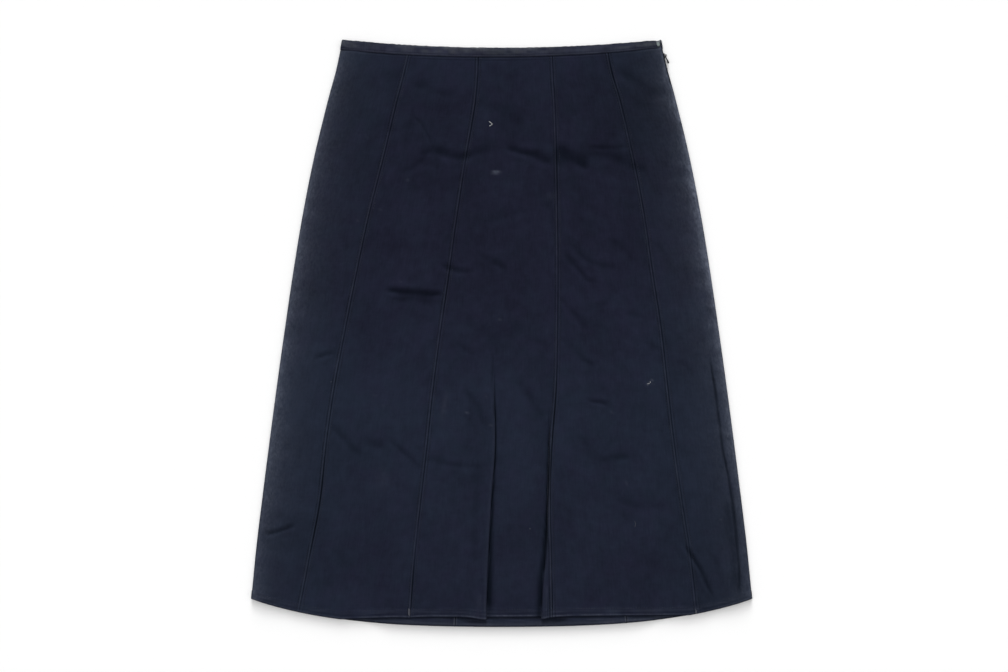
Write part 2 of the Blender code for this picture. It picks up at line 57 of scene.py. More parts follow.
# %% [markdown]
# ## Camera, floor and light
# A flat garment is shown from straight above. The light is that of a product table: an even white
# surround, a very broad lamp overhead, and two soft lamps beyond the waist, which model the creases
# and leave a soft shadow below the hem. Two dimmer ones at the sides pick out the rolled edges. The
# shares add up to about 1, so a level surface shows very nearly its own colour.

# %% Overhead camera
VIEW_WIDTH = 1.159         # metres of table across the picture
LENS = 85
SENSOR = 36
CLOTH_LEVEL = 0.003        # the picture's width is measured at this height
VIEW_MIDDLE = (0.0027, -0.0032)


def add_object(name, data):
    """Put a camera, a lamp, a mesh or a curve into the scene."""
    added = bpy.data.objects.new(name, data)
    bpy.context.scene.collection.objects.link(added)
    return added


camera_data = bpy.data.cameras.new("overhead camera")
camera_data.lens = LENS
camera_data.sensor_width = SENSOR
camera = add_object("overhead camera", camera_data)
camera.location = (*VIEW_MIDDLE, VIEW_WIDTH * LENS / SENSOR + CLOTH_LEVEL)
bpy.context.scene.camera = camera
bpy.context.scene.view_settings.view_transform = "Standard"
print("camera height in m:", round(camera.location.z, 3))

# %% Soft lamps
SURROUND_SHARE = 0.26      # share of the light on a level surface that comes from all round
LAMPS = (                  # name, share, direction it comes from, elevation, softness in degrees
    ("lamp beyond the waist", 0.22, 90, 29, 34),
    ("low lamp beyond the waist", 0.13, 90, 17, 20),
    ("lamp overhead", 0.27, 90, 84, 60),
    ("lamp at the left", 0.07, 180, 45, 40),
    ("lamp at the right", 0.07, 0, 45, 40),
)


def add_lamp(name, share, heading, elevation, softness):
    """A distant lamp that gives a level surface its share of the light."""
    data = bpy.data.lights.new(name, "SUN")
    data.energy = share * math.pi / math.sin(math.radians(elevation))
    data.angle = math.radians(softness)
    lamp = add_object(name, data)
    lamp.rotation_mode = "XYZ"
    lamp.rotation_euler = (math.radians(90 - elevation), 0, math.radians(heading + 90))


for lamp_values in LAMPS:
    add_lamp(*lamp_values)
print("shares of light:", round(SURROUND_SHARE + sum(values[1] for values in LAMPS), 2))


# %% Nodes in a few words
def add_node(tree, kind, **values):
    """Add a node; values are its attributes, such as operation="ADD"."""
    node = tree.nodes.new(kind)
    for name, value in values.items():
        setattr(node, name, value)
    return node


def link(source, target):
    target.id_data.links.new(source, target)


def maths(operation, first, second=0, clamp=False):
    """A Math node on two sockets, or a socket and a number; gives its output socket."""
    tree = (second if isinstance(first, (int, float)) else first).id_data
    node = add_node(tree, "ShaderNodeMath", operation=operation, use_clamp=clamp)
    for socket, value in zip(node.inputs, (first, second)):
        if isinstance(value, (int, float)):
            socket.default_value = value
        else:
            link(value, socket)
    return node.outputs[0]


def plus(first, second, clamp=False):
    return maths("ADD", first, second, clamp)


def minus(first, second):
    return maths("SUBTRACT", first, second)


def times(first, second, clamp=False):
    return maths("MULTIPLY", first, second, clamp)


def mix_colours(factor, first, second):
    """Mix two colours, given as sockets or as tuples; gives the output socket."""
    node = add_node(factor.id_data, "ShaderNodeMix", data_type="RGBA")
    for socket, value in ((node.inputs[0], factor), (node.inputs[6], first), (node.inputs[7], second)):
        if isinstance(value, bpy.types.NodeSocket):
            link(value, socket)
        elif isinstance(value, tuple):
            socket.default_value = (*value, 1)
        else:
            socket.default_value = value
    return node.outputs[2]


def new_material(name):
    """A material, its node tree and its Principled shader."""
    material = bpy.data.materials.new(name)
    material.use_nodes = True
    return material, material.node_tree, material.node_tree.nodes["Principled BSDF"]


def add_bump(shader, height, strength, distance):
    bump = add_node(height.id_data, "ShaderNodeBump")
    bump.inputs["Strength"].default_value = strength
    bump.inputs["Distance"].default_value = distance
    link(height, bump.inputs["Height"])
    link(bump.outputs[0], shader.inputs["Normal"])


# %% White surround
def make_surround():
    """The world: white to the eye and in reflections, and a plain level of light everywhere else."""
    world = bpy.data.worlds.new("white surround")
    bpy.context.scene.world = world
    world.use_nodes = True
    tree = world.node_tree
    background = tree.nodes["Background"]
    background.inputs["Color"].default_value = (1, 1, 1, 1)
    path = add_node(tree, "ShaderNodeLightPath")
    seen = maths("MAXIMUM", path.outputs["Is Camera Ray"], path.outputs["Is Glossy Ray"])
    seen = maths("MAXIMUM", seen, path.outputs["Is Transmission Ray"])
    extra = times(seen, 1 - SURROUND_SHARE)
    link(plus(extra, SURROUND_SHARE), background.inputs["Strength"])


make_surround()


# %% Pale table
FLOOR_SIZE = 24
FLOOR_DROP = 0.0003


def make_floor():
    grid = bmesh.new()
    bmesh.ops.create_grid(grid, x_segments=2, y_segments=2, size=FLOOR_SIZE / 2)
    mesh = bpy.data.meshes.new("table top")
    grid.to_mesh(mesh)
    grid.free()
    floor = add_object("table top", mesh)
    floor.location = (0, 0, -FLOOR_DROP)
    material, tree, shader = new_material("pale table")
    shader.inputs["Roughness"].default_value = 1
    shader.inputs["Specular IOR Level"].default_value = 0
    path = add_node(tree, "ShaderNodeLightPath")
    white = mix_colours(path.outputs["Is Camera Ray"], (0.8, 0.8, 0.8), (0.985, 0.985, 0.985))
    link(white, shader.inputs["Base Color"])
    mesh.materials.append(material)


make_floor()
print("table:", FLOOR_SIZE, "m square")

# %% [markdown]
# ## The lines of the skirt
# A pattern cutter works with lines: the side folds, the seams, the waist and the hem. These are the
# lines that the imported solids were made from, in millimetres, with X across the skirt, Y up its
# length and Z up from the table. A short table gives each line's distance out at a few levels, and a
# smooth curve runs through its rows. Levels go from 0 at the waist edge to 1 at the hem.

# %% Driving sizes
WALL = 0.8                 # the cloth's own thickness
DOUBLE_WALL = 1.6          # and that of a hem turned under
BAND_WALL = 1.8
BAND_MIDDLE = 9.5          # height of the waistband at its middle
BAND_SLANT = 1.2           # it is sewn this much taller at its left end and shorter at its right end
WAIST_HALF = 183
HEM_HALF = 287.5
OVERALL_LENGTH = 673.8
WAIST_DIP = 9.2            # the waist edge is lower at the centre than at its corners
HEM_SWEEP_2 = 13.3         # the hem climbs to the side folds with the square
HEM_SWEEP_4 = 18.9         # and with the fourth power of the distance out
FRONT_LIFT = 11            # the back hem shows this far below the front hem
FRONT_LIFT_MIDDLE = 15
FRONT_LIFT_REACH = 200
BACK_WAIST_DROP = 1.5
FOLD_MIDDLE = 2.4          # height at which the front and back meet in the side folds

# %% Tables of lines
def table(fields, *rows):
    """Rows of values, which can be read by the names of their fields."""
    row_kind = namedtuple("Row", fields)
    return [row_kind(*row) for row in rows]


FRONT_SECTIONS = table(
    "down side seam_1 seam_2 seam_3 seam_4",
    (0.00, 183.0, -106.0, -28.0, 56.5, 119.0),
    (0.05, 190.0, -113.5, -29.0, 58.0, 125.5),
    (0.10, 199.0, -122.0, -32.0, 60.0, 135.0),
    (0.20, 215.0, -137.5, -43.0, 62.0, 150.0),
    (0.30, 228.0, -154.0, -53.0, 63.0, 162.5),
    (0.40, 238.8, -168.0, -62.0, 63.5, 172.0),
    (0.50, 248.3, -181.0, -71.5, 63.0, 182.0),
    (0.60, 257.3, -193.5, -80.0, 61.5, 189.5),
    (0.70, 265.7, -203.0, -87.0, 56.5, 197.0),
    (0.80, 273.7, -210.0, -94.5, 54.5, 206.0),
    (0.90, 281.3, -222.0, -101.5, 56.0, 216.0),
    (1.00, 287.5, -234.0, -106.5, 57.0, 223.5),
)
PLEAT_SECTIONS = table(
    "down left right",
    (0.50, -9.5, 55.0),
    (0.60, -9.0, 55.0),
    (0.70, -8.0, 55.0),
    (0.80, -12.5, 53.1),
    (0.90, -16.0, 50.6),
    (0.95, -17.2, 47.8),
    (1.00, -18.0, 46.2),
)
BACK_SEAMS = table(
    "waist hem",
    (-100.0, -186.0),
    (-24.0, -53.5),
    (60.0, 144.0),
    (122.0, 231.0),
)


def read_table(rows, column, down):
    """One column of a table at any level, on a smooth curve through its rows."""
    places = np.array([row.down for row in rows])
    values = np.array([getattr(row, column) for row in rows])
    slopes = np.gradient(values, places)
    slopes[1:-1] = (values[2:] - values[:-2]) / (places[2:] - places[:-2])
    level = np.clip(down, places[0], places[-1])
    at = np.clip(np.searchsorted(places, level, side="right") - 1, 0, len(rows) - 2)
    step = places[at + 1] - places[at]
    share = (level - places[at]) / step
    square = share ** 2
    cube = share ** 3
    return ((2 * cube - 3 * square + 1) * values[at] + (cube - 2 * square + share) * step * slopes[at]
            + (3 * square - 2 * cube) * values[at + 1] + (cube - square) * step * slopes[at + 1])


def ease(value, start, end):
    """Go smoothly from 0 at start to 1 at end."""
    share = np.clip((value - start) / (end - start), 0, 1)
    return share * share * (3 - 2 * share)


def bell(distance, width):
    """A soft bump: 1 in the middle, and gone at about twice the width."""
    return np.exp(-(distance / width) ** 2)


# %% Waist, hem and side lines
TUCK = 0.6                 # the gores' top edges tuck this far under the waistband
DOWN_START = (BAND_MIDDLE - TUCK) / OVERALL_LENGTH


def band_height(x):
    return BAND_MIDDLE - BAND_SLANT * np.clip(x / WAIST_HALF, -1, 1)


def waist_line(x):
    return OVERALL_LENGTH / 2 - WAIST_DIP * np.maximum(1 - (x / WAIST_HALF) ** 2, 0)


def back_hem_line(x):
    out = x / HEM_HALF
    return -OVERALL_LENGTH / 2 + HEM_SWEEP_2 * out ** 2 + HEM_SWEEP_4 * out ** 4


def front_hem_line(x):
    out = np.minimum(abs(x - FRONT_LIFT_MIDDLE) / FRONT_LIFT_REACH, 1)
    return back_hem_line(x) + FRONT_LIFT * (1 - out ** 3)


def side_line(down):
    return read_table(FRONT_SECTIONS, "side", down)


def side_inset(x, down):
    """Distance in from the nearer side fold."""
    return side_line(down) - abs(x)


def below_band(x, y):
    """Distance down from the lower edge of the waistband."""
    return waist_line(x) - band_height(x) - y


def pleat_lines(down):
    """The visible edges of the pleat's left and right folds."""
    return read_table(PLEAT_SECTIONS, "left", down), read_table(PLEAT_SECTIONS, "right", down)


def gore_place(x, down, hem, drop=0):
    """Place up the skirt at a level, from just under the waistband to the hem."""
    top = waist_line(x) - band_height(x) + TUCK - drop
    return top + (hem(x) - top) * (down - DOWN_START) / (1 - DOWN_START)


for level in (0, 0.5, 1):
    print("level", level, "is", round(2 * float(side_line(level)), 1), "mm wide")

# %% [markdown]
# ## The height of the cloth
# The front lies on the back, rounds up over the side folds, and climbs where the pleat's folded
# layers push it up. These few formulas give the middle of the cloth at any point. They are written
# with NumPy, so that one call works out a whole panel at once.

# %% Side folds
FRONT_LOW = 1.9
FRONT_WAIST = 3
WAIST_SETTLE = 0.08
FRONT_NOSE = 1.5           # radius at which the front turns down at the very edge
FRONT_ROLL_TOP = 4.8
FRONT_ROLL_WIDTH = 14
ROLL_FADE = 24


def nose_rise(inset, radius):
    """Rise of a quarter circle that starts upright at the edge of the side fold."""
    return np.sqrt(np.maximum(radius ** 2 - (radius - np.clip(inset, 0, radius)) ** 2, 0))


def front_low(down):
    return FRONT_LOW + (FRONT_WAIST - FRONT_LOW) * (1 - ease(down, 0, WAIST_SETTLE))


def back_height(x, down, wall):
    """Height of the middle of the back cloth: flat, then rounding up into the side fold."""
    radius = FOLD_MIDDLE - wall / 2
    return FOLD_MIDDLE - nose_rise(side_inset(x, down), radius)


# %% Pleat folds
PLEAT_RUN = 10.5           # straight hidden layer of each fold at the hem
PLEAT_PITCH = 2            # height from one layer to the next
PLEAT_RADIUS = PLEAT_PITCH / 2
PLEAT_RAMP = 22
LEFT_PLEAT_TOP = 0.55
RIGHT_PLEAT_TOP = 0.63
PLEAT_TURN = 0.12          # a fold turns right under over this share of the length
PLEAT_RISEN = 0.8
PLEAT_GATHER = 0.3
PLEAT_CLOTH = 16.8
PLEAT_GAP = 0.3
Fold = namedtuple("Fold", "turn angle rise run upper lower reach")


def fold_shape(down, top):
    """A pleat fold at a level: how far it has turned, its height, and how its cloth is shared out."""
    turn = np.clip((down - top) / PLEAT_TURN, 0, 1)
    angle = np.pi * turn
    rise = 2 * PLEAT_PITCH * ease(turn, 0, PLEAT_RISEN)
    turning = (np.maximum(rise - PLEAT_PITCH * (1 - np.cos(angle)), 0)
               / np.maximum(np.sin(angle), 0.05))
    run = np.where(turn < 1, turning, PLEAT_RUN * (down - top - PLEAT_TURN) / (1 - top - PLEAT_TURN))
    spare = np.maximum(PLEAT_CLOTH - PLEAT_PITCH * angle - run, 0)
    upper = spare / 2
    if top == RIGHT_PLEAT_TOP:
        flap = read_table(FRONT_SECTIONS, "seam_3", down) - pleat_lines(down)[1]
        upper = np.minimum(upper, np.maximum(flap - PLEAT_RADIUS - PLEAT_GAP, 0))
    start = PLEAT_RADIUS * np.sin(np.minimum(angle, np.pi / 2))
    back = PLEAT_RADIUS * np.sin(angle) + run * np.cos(angle)
    past = np.where(angle > np.pi / 2, start - back + PLEAT_RADIUS + 1, 0)
    return Fold(turn, angle, rise, run, upper, spare - upper, np.maximum(start + upper, past))


def front_height(x, down):
    """Height of the middle of the front cloth, side rolls and pleat mounds included."""
    inset = side_inset(x, down)
    lying = front_low(down)
    shoulder = FOLD_MIDDLE + FRONT_NOSE
    share = np.clip((inset - FRONT_NOSE) / (FRONT_ROLL_WIDTH - FRONT_NOSE), 0, 1)
    roll = shoulder + (FRONT_ROLL_TOP - shoulder) * np.sin(np.pi / 2 * share)
    settled = lying + (FRONT_ROLL_TOP - lying) * bell(inset - FRONT_ROLL_WIDTH, ROLL_FADE)
    height = np.where(inset < FRONT_NOSE, FOLD_MIDDLE + nose_rise(inset, FRONT_NOSE),
                      np.where(inset < FRONT_ROLL_WIDTH, roll, settled))
    left, right = pleat_lines(down)
    left_fold = fold_shape(down, LEFT_PLEAT_TOP)
    right_fold = fold_shape(down, RIGHT_PLEAT_TOP)
    left_rise = left_fold.rise * (1 - ease(left - left_fold.reach - x, 0, PLEAT_RAMP))
    right_rise = right_fold.rise * (1 - ease(x - right - right_fold.reach, 0, PLEAT_RAMP))
    return height + np.where(x < (left + right) / 2, left_rise, right_rise)


print("height of the pleat's left mound at the hem:", round(float(front_height(-25, 1)), 2), "mm")

# %% [markdown]
# ## Relief
# Worn twill is never level. Four kinds of relief are added to the main form, each from its own
# small table in millimetres:
#
# - seams: the upper panel's folded edge is a thin ridge, the join beside it a narrow ditch, and rows
#   of stitching press shallow grooves on both sides;
# - creases: soft troughs and ridges along given lines, each with its own depth and width;
# - swells: low mounds where the layers below push up or the cloth has kept a wearer's shape;
# - rumple: a faint uneven ripple, from seeded random numbers, so that it is the same every time.

# %% Rumple
LATTICE = 64


def rumple(x, y, size_x, size_y, seed):
    """Smooth random ripple between -1 and 1, with waves of about the sizes given."""
    values = np.random.default_rng(seed).uniform(-1, 1, (LATTICE, LATTICE))
    across = x / size_x
    along = y / size_y
    column = np.floor(across).astype(int)
    row = np.floor(along).astype(int)
    blend_x = ease(across - column, 0, 1)
    blend_y = ease(along - row, 0, 1)

    def corner(step_x, step_y):
        return values[(row + step_y) % LATTICE, (column + step_x) % LATTICE]

    near = corner(0, 0) + (corner(1, 0) - corner(0, 0)) * blend_x
    far = corner(0, 1) + (corner(1, 1) - corner(0, 1)) * blend_x
    return near + (far - near) * blend_y


def ripple(along, size, seed, lane=0):
    """The same along a line only; each lane has its own ripple."""
    return rumple(along, along * 0 + lane, size, 1, seed)


# %% Seams
SEAM_NAMES = ("seam_1", "seam_2", "seam_3", "seam_4")
JOIN_OUT = 1.3             # the join lies this far to the right of the ridge
SEAM_PROFILE = table(           # distance out from the ridge, height or depth, width, painted shade, paleness
    "out depth width shade wear",
    (-4.9, -0.12, 0.45, 0.10, 0.00),
    (-1.9, -0.32, 0.60, 0.62, 0.00),
    (-0.1, 0.34, 0.58, 0.00, 0.065),
    (1.3, -0.62, 0.55, 0.86, 0.00),
    (2.9, 0.14, 0.60, 0.00, 0.030),
    (4.5, -0.20, 0.50, 0.40, 0.00),
)
SEAM_REACH = 9
SEAM_PUCKER = 0.20


def seam_line(name, down):
    return read_table(FRONT_SECTIONS, name, down)


DARK_STRETCHES = table(         # where the join of a seam gapes and its ditch is in shadow
    "name y half_length depth shade",
    ("seam_1", 262, 30, 0.2, 0.44),
    ("seam_1", -176, 26, 0.6, 0.96),
    ("seam_1", -222, 24, 0.6, 0.88),
    ("seam_2", 252, 42, 0.2, 0.53),
    ("seam_2", 60, 22, 0.2, 0.53),
    ("seam_2", -286, 24, 0.4, 0.79),
    ("seam_3", 190, 36, 0.2, 0.55),
    ("seam_3", -104, 44, 0.5, 0.96),
    ("seam_4", 299, 13, 0.3, 1.1),
    ("seam_4", 262, 16, 0.2, 0.6),
    ("seam_4", 10, 40, 0.2, 0.44),
)

PALE_STRETCHES = table(         # where the ridge of a seam is rubbed pale
    "name y half_length wear",
    ("seam_3", -185, 46, 0.07),
    ("seam_3", -285, 42, 0.075),
)


def seam_strength(y, index, line):
    """How strongly one line of a seam's profile shows along the seam: it comes and goes."""
    slow = ripple(y, 40, 11, lane=31 * index + 7 * line.out)
    fast = ripple(y, 6.5, 12, lane=17 * index + 5 * line.out)
    return np.clip(0.95 + 0.50 * slow + 0.48 * fast, 0.02, 1.9)


def add_seams(x, y, down, height, wear, shade):
    """Ridge, ditch and stitching grooves of each seam, with painted shade in the ditch and grooves, and its
    shadowed and its rubbed stretches.
    """
    for index, name in enumerate(SEAM_NAMES):
        middle = seam_line(name, down)
        if (abs(x - middle) > SEAM_REACH).all():
            continue
        for line in SEAM_PROFILE:
            part = bell(x - middle - line.out, line.width) * seam_strength(y, index, line)
            height += line.depth * part
            wear += line.wear * part
            shade += line.shade * part
        from_join = x - middle - JOIN_OUT
        for dark in DARK_STRETCHES:
            if dark.name == name:
                part = bell(from_join, 1.1) * bell(y - dark.y, dark.half_length)
                height -= dark.depth * part
                shade += dark.shade * part
        for pale in PALE_STRETCHES:
            if pale.name == name:
                wear += pale.wear * bell(x - middle - 0.3, 0.7) * bell(y - pale.y, pale.half_length)
        height += SEAM_PUCKER * rumple(x, y, 9, 7, 21 + index) * bell(from_join, 8)


print("each seam is", len(SEAM_PROFILE), "lines side by side")

# %% Creases
# Each crease runs through its points. A positive depth is a trough; a negative one is a ridge.
CREASES = table(
    "depth width points",
    # across the hips
    (1.25, 3.6, ((-97, 205), (-78, 209.5), (-59, 204.6), (-44.5, 202.4), (-30, 208), (-8, 211.5))),
    (0.5, 4, ((-82, 203), (-93, 197), (-107, 188), (-122, 184))),
    (1.85, 3.2, ((3, 213), (12, 211), (22, 208), (35, 205.5), (48, 199.5), (60, 193.5))),
    (1.2, 3.6, ((60, 210.6), (72.7, 207), (84.5, 199), (97, 191), (104, 188))),
    (1.3, 7, ((56, 205), (80, 201), (104, 197))),
    (0.62, 2.2, ((96, 214.5), (116, 213), (134, 213), (150, 215.5))),
    (0.7, 4.2, ((94, 202.5), (119, 204.6), (138, 197.5), (153, 191.5), (170, 186))),
    (0.35, 5, ((-16, 246), (6, 236), (24, 224))),
    (0.48, 6.6, ((-35, 268), (-18, 263), (-3, 257.5), (11, 249.5), (27, 238))),
    (0.45, 4.6, ((-107, 284.5), (-86, 283.5), (-70, 276), (-48, 274))),
    # across the lap
    (1.45, 2.5, ((-137, 50.5), (-118, 48), (-101, 46.6), (-80.5, 44.6), (-64, 45.6))),
    (-0.45, 3, ((-130, 56), (-104, 52.5), (-78, 50.5))),
    (0.8, 2.6, ((-74, 81), (-56, 73), (-40, 70.8), (-29, 73.4))),
    (0.75, 2.8, ((-26, 89), (-9.4, 82.6), (0.5, 76.5), (11, 71))),
    (0.62, 3.4, ((-22, 127), (-8, 131), (6, 135), (20, 139), (34, 144))),
    (0.55, 2.6, ((70, 95), (82, 80), (94, 67), (99, 60.5), (116, 59))),
    (0.5, 2.6, ((82, 99), (96, 85), (115, 77.5), (139, 75))),
    (0.45, 3.2, ((118, 110), (141, 97), (153, 77))),
    (0.3, 3.2, ((84, 134), (104, 124), (126, 112))),
    (0.35, 3, ((168, 108), (182, 98), (190, 84))),
    (0.45, 2.6, ((96, 23), (112, 32), (127, 35.5))),
    (0.5, 2.2, ((136, 24.5), (153, 20.5), (170, 17))),
    (0.42, 2.6, ((162, -7), (173.5, -16), (185, -22.5))),
    # beside the seams at the left
    (0.9, 1.6, ((-106, 253), (-94.5, 243), (-88, 233.5), (-82, 221.5), (-79.5, 213))),
    (0.3, 1.8, ((-112, 244), (-107, 234), (-98, 240))),
    (0.4, 5, ((-148, 248), (-132, 238), (-122, 224))),
    (0.7, 2.2, ((-219, -30), (-203, -25), (-188, -22))),
    (0.62, 3, ((-198, -102), (-185, -118), (-169, -134), (-158, -142))),
    (0.55, 5, ((-166, -116), (-150, -126), (-128, -132))),
    (0.6, 3, ((-133, -119), (-111, -138.5), (-99, -150), (-92, -160))),
    (0.48, 2.8, ((-96, -146), (-78, -146.5), (-54, -152), (-32, -153.5), (-14, -151.5))),
    (1.3, 1.9, ((-276, -232), (-260, -228.5), (-247.5, -224.4), (-234, -219.5))),
    (-0.4, 3, ((-274, -225), (-256, -220), (-240, -213))),
    # the inverted V above the pleat
    (0.42, 5, ((-50, 15.5), (-27, 4), (-12, -9), (-8, -20))),
    (0.42, 5, ((-11, -9), (11, 1.5), (28, 12.5))),
    (0.32, 3.6, ((-56, -9), (-40, -20), (-28, -28))),
    (0.34, 3.4, ((24, -4), (42, -10), (58, -20))),
    (0.6, 3.8, ((-46, -63), (-30, -80), (-22, -100), (-16.5, -112))),
    (0.62, 3.8, ((14, -50), (31, -71), (39, -85), (50, -101))),
    # the middle of the lower half
    (0.72, 3.2, ((66, 43), (79, 27), (92, 12), (99, 0))),
    (0.55, 3.2, ((66, -3), (79.5, -14), (95, -31.5), (109, -40))),
    (0.4, 1.8, ((92, -30), (101, -34), (108, -39.5))),
    (0.95, 1.7, ((96, -75), (105, -78.6), (115, -79.8), (126, -85.5))),
    (-0.3, 2.2, ((94, -70.5), (106, -74), (122, -77))),
    (0.6, 2.4, ((109, -149), (120, -145.6), (133, -143.4), (152, -143))),
    (0.42, 3.6, ((129, -190), (155, -198.5), (192, -198.5))),
    (0.3, 3.4, ((84, -112), (96, -128), (102, -148))),
    # beside the last seam and the right-hand side fold
    (0.5, 2.6, ((196, -34), (209, -35.5), (216.8, -44), (219.5, -55.5))),
    (0.35, 2.4, ((222, 34), (225, 22), (229.5, -1), (233, -20))),
    (0.42, 2.2, ((232, 30), (240, 24), (246, 14))),
    (2.7, 1.2, ((238.5, -27), (243.2, -54), (247.2, -81), (251, -109), (254.6, -137), (260.2, -164),
                (264.6, -192), (268.2, -219), (270.7, -247), (273, -275), (272.6, -300))),
    (0.72, 5, ((257, -190), (263, -222), (266.5, -250), (268.5, -280), (269, -302))),
    (1.6, 1.7, ((210, -240), (216, -252.5), (224.9, -266), (231.2, -276.6), (235.5, -287.3), (240.8, -298),
                (246, -308))),
    (0.46, 2.8, ((240, -250), (246, -262), (251, -276), (256, -296))),
    (0.26, 3.4, ((206, 92), (214, 62), (216, 34))),
    (0.62, 5.5, ((130, 304), (143, 297), (157, 288), (170, 278), (180, 267))),
    (0.4, 6, ((146, 268), (160, 262), (176, 262))),
    # beside the folds of the pleat
    (0.6, 1.3, ((-9.6, -20), (-10.6, -42), (-10.8, -60), (-9.4, -78), (-7.8, -104))),
    (0.62, 4.6, ((-27, -150), (-29.5, -190), (-31, -230), (-32, -266))),
    (0.7, 5.5, ((-128, 43), (-100, 40.5), (-72, 40))),
    (0.3, 3, ((-34, -74), (-37, -104), (-40, -140))),
)
CREASE_STEPS = 8
CREASE_END = 12            # creases run out over this length, or over a share of a short one
CREASE_END_SHARE = 0.35
CREASE_SHADE = 0.46
SOFTNESS = 1.2             # creases are this much wider than the table says
BANK_HEIGHT = 0.42         # beside each trough the cloth rises by this share of its depth
BANK_OUT = 2.1             # and this many widths out from it
DEEPEST = 1.2              # however creases cross, the front never dips to the back
DARKEST = 0.72


def smooth_line(points, steps):
    """Points along a smooth curve through the points given."""
    given = np.array(points)
    before = np.vstack([2 * given[0] - given[1], given, 2 * given[-1] - given[-2]])
    share = (np.arange(steps) / steps)[:, None]
    curve = []
    for index in range(1, len(before) - 2):
        a, b, c, d = before[index - 1:index + 3]
        curve.append(0.5 * (2 * b + (c - a) * share + (2 * a - 5 * b + 4 * c - d) * share ** 2
                            + (3 * b - a - 3 * c + d) * share ** 3))
    return np.vstack(curve + [given[-1:]])


def line_distance(x, y, line):
    """Distance from a line of points, to its left or right, and distance along it."""
    nearest = np.full(x.shape, 1e9)
    along = np.zeros(x.shape)
    done = 0
    for start, end in zip(line[:-1], line[1:]):
        step = end - start
        length = np.hypot(*step)
        share = np.clip(((x - start[0]) * step[0] + (y - start[1]) * step[1]) / length ** 2, 0, 1)
        away = np.hypot(x - start[0] - share * step[0], y - start[1] - share * step[1])
        closer = away < nearest
        nearest = np.where(closer, away, nearest)
        along = np.where(closer, done + share * length, along)
        done += length
    return nearest, along, done


def add_creases(x, y, height, shade):
    """Press the creases into the height, and paint shade into their troughs."""
    sunk = np.zeros(x.shape)
    darker = np.zeros(x.shape)
    for number, crease in enumerate(CREASES):
        line = smooth_line(crease.points, CREASE_STEPS)
        reach = 4.4 * crease.width + 2
        near = ((x > line[:, 0].min() - reach) & (x < line[:, 0].max() + reach)
                & (y > line[:, 1].min() - reach) & (y < line[:, 1].max() + reach))
        if not near.any():
            continue
        away, along, length = line_distance(x[near], y[near], line)
        fade = min(CREASE_END, CREASE_END_SHARE * length)
        ends = ease(along, 0, fade) * ease(length - along, 0, fade)
        strength = ends * (1 + 0.45 * ripple(along, 14, 31, lane=13 * number))
        width = SOFTNESS * crease.width * (1 + 0.25 * ripple(along, 22, 32, lane=13 * number))
        bank = BANK_HEIGHT * bell(away - BANK_OUT * width, 1.1 * width)
        sunk[near] += crease.depth * strength * (bell(away, width) - bank)
        darker[near] += CREASE_SHADE * max(crease.depth, 0) * strength * bell(away, 0.9 * width)
    height -= DEEPEST * np.tanh(sunk / DEEPEST)
    # painted shade in the troughs, however many creases cross
    shade += DARKEST * np.tanh(darker / DARKEST)


print("creases placed by hand:", len(CREASES))

# %% Swells
SWELLS = table(                 # middle, half widths and height of each low mound or hollow
    "x y across along height",
    (-60, 236, 60, 20, 0.7),
    (60, 228, 60, 16, 0.9),
    (70, 172, 60, 16, 0.9),
    (-50, 188, 60, 14, 0.6),
    (-98, 62, 46, 14, 0.8),
    (-96, 28, 44, 12, 0.6),
    (6, 110, 46, 26, 0.7),
    (-170, 20, 34, 60, 0.7),
    (130, 30, 40, 70, 0.8),
    (20, 20, 40, 46, 0.8),
    (106, -62, 34, 12, 0.6),
    (110, -108, 44, 18, 0.6),
    (-64, -110, 34, 34, 0.6),
    (-56, -210, 30, 60, 0.7),
    (150, -170, 44, 28, 0.6),
    (160, -250, 60, 34, 0.6),
    (-170, -190, 44, 60, 0.6),
    (-246, -206, 24, 10, 0.7),
    (240, -250, 16, 60, 0.8),
    (228, 60, 18, 50, 0.5),
)
LOFT = 0.85                # the front's general height above its flattest state
LOFT_FADE = 30
HEM_LOFT_FADE = 60
PUCKER_MIDDLE = 8          # small puckers fall away to both sides of this line above the pleat


def add_swells(x, y, down, height):
    """Loft, mounds and ripples, wherever seams and edges leave the cloth free to rise."""
    inset = side_inset(x, down)
    free = (ease(inset, 4, LOFT_FADE) * ease(y - front_hem_line(x), -4, HEM_LOFT_FADE)
            * ease(below_band(x, y), 4, HEM_LOFT_FADE))
    swell = LOFT * free
    for mound in SWELLS:
        swell += mound.height * free * np.exp(-((x - mound.x) / mound.across) ** 2
                                              - ((y - mound.y) / mound.along) ** 2)
    swell += free * (0.30 * rumple(x, y, 64, 52, 41) + 0.16 * rumple(x, y, 27, 22, 42))
    fine = 0.13 * rumple(x, y, 8.5, 9.5, 43) + 0.05 * rumple(x, y, 3.8, 5, 44)
    slant = 0.7 * (abs(x - PUCKER_MIDDLE) + y)
    pucker = rumple(slant, abs(x - PUCKER_MIDDLE) - y, 6.5, 34, 45) * bell(y - 20, 78)
    streak = rumple(x, y, 7, 60, 46) * ease(-y, 120, 230)
    height += swell + (fine + 0.26 * pucker + 0.12 * streak) * ease(inset, 1, 8)


print("swells:", len(SWELLS))

# %% Waist and hem edges
HEM_DEPTH = 9.2            # the hem is turned up by this much
HEM_STITCHING = 8.6        # and stitched this far above its edge
HEM_STEP = 1.4
HEM_LIFT = 1.7             # the front hem rises this far off the back where little of the back shows
BAND_SHADOW = 0.42
HEM_SHADOW = 0.46


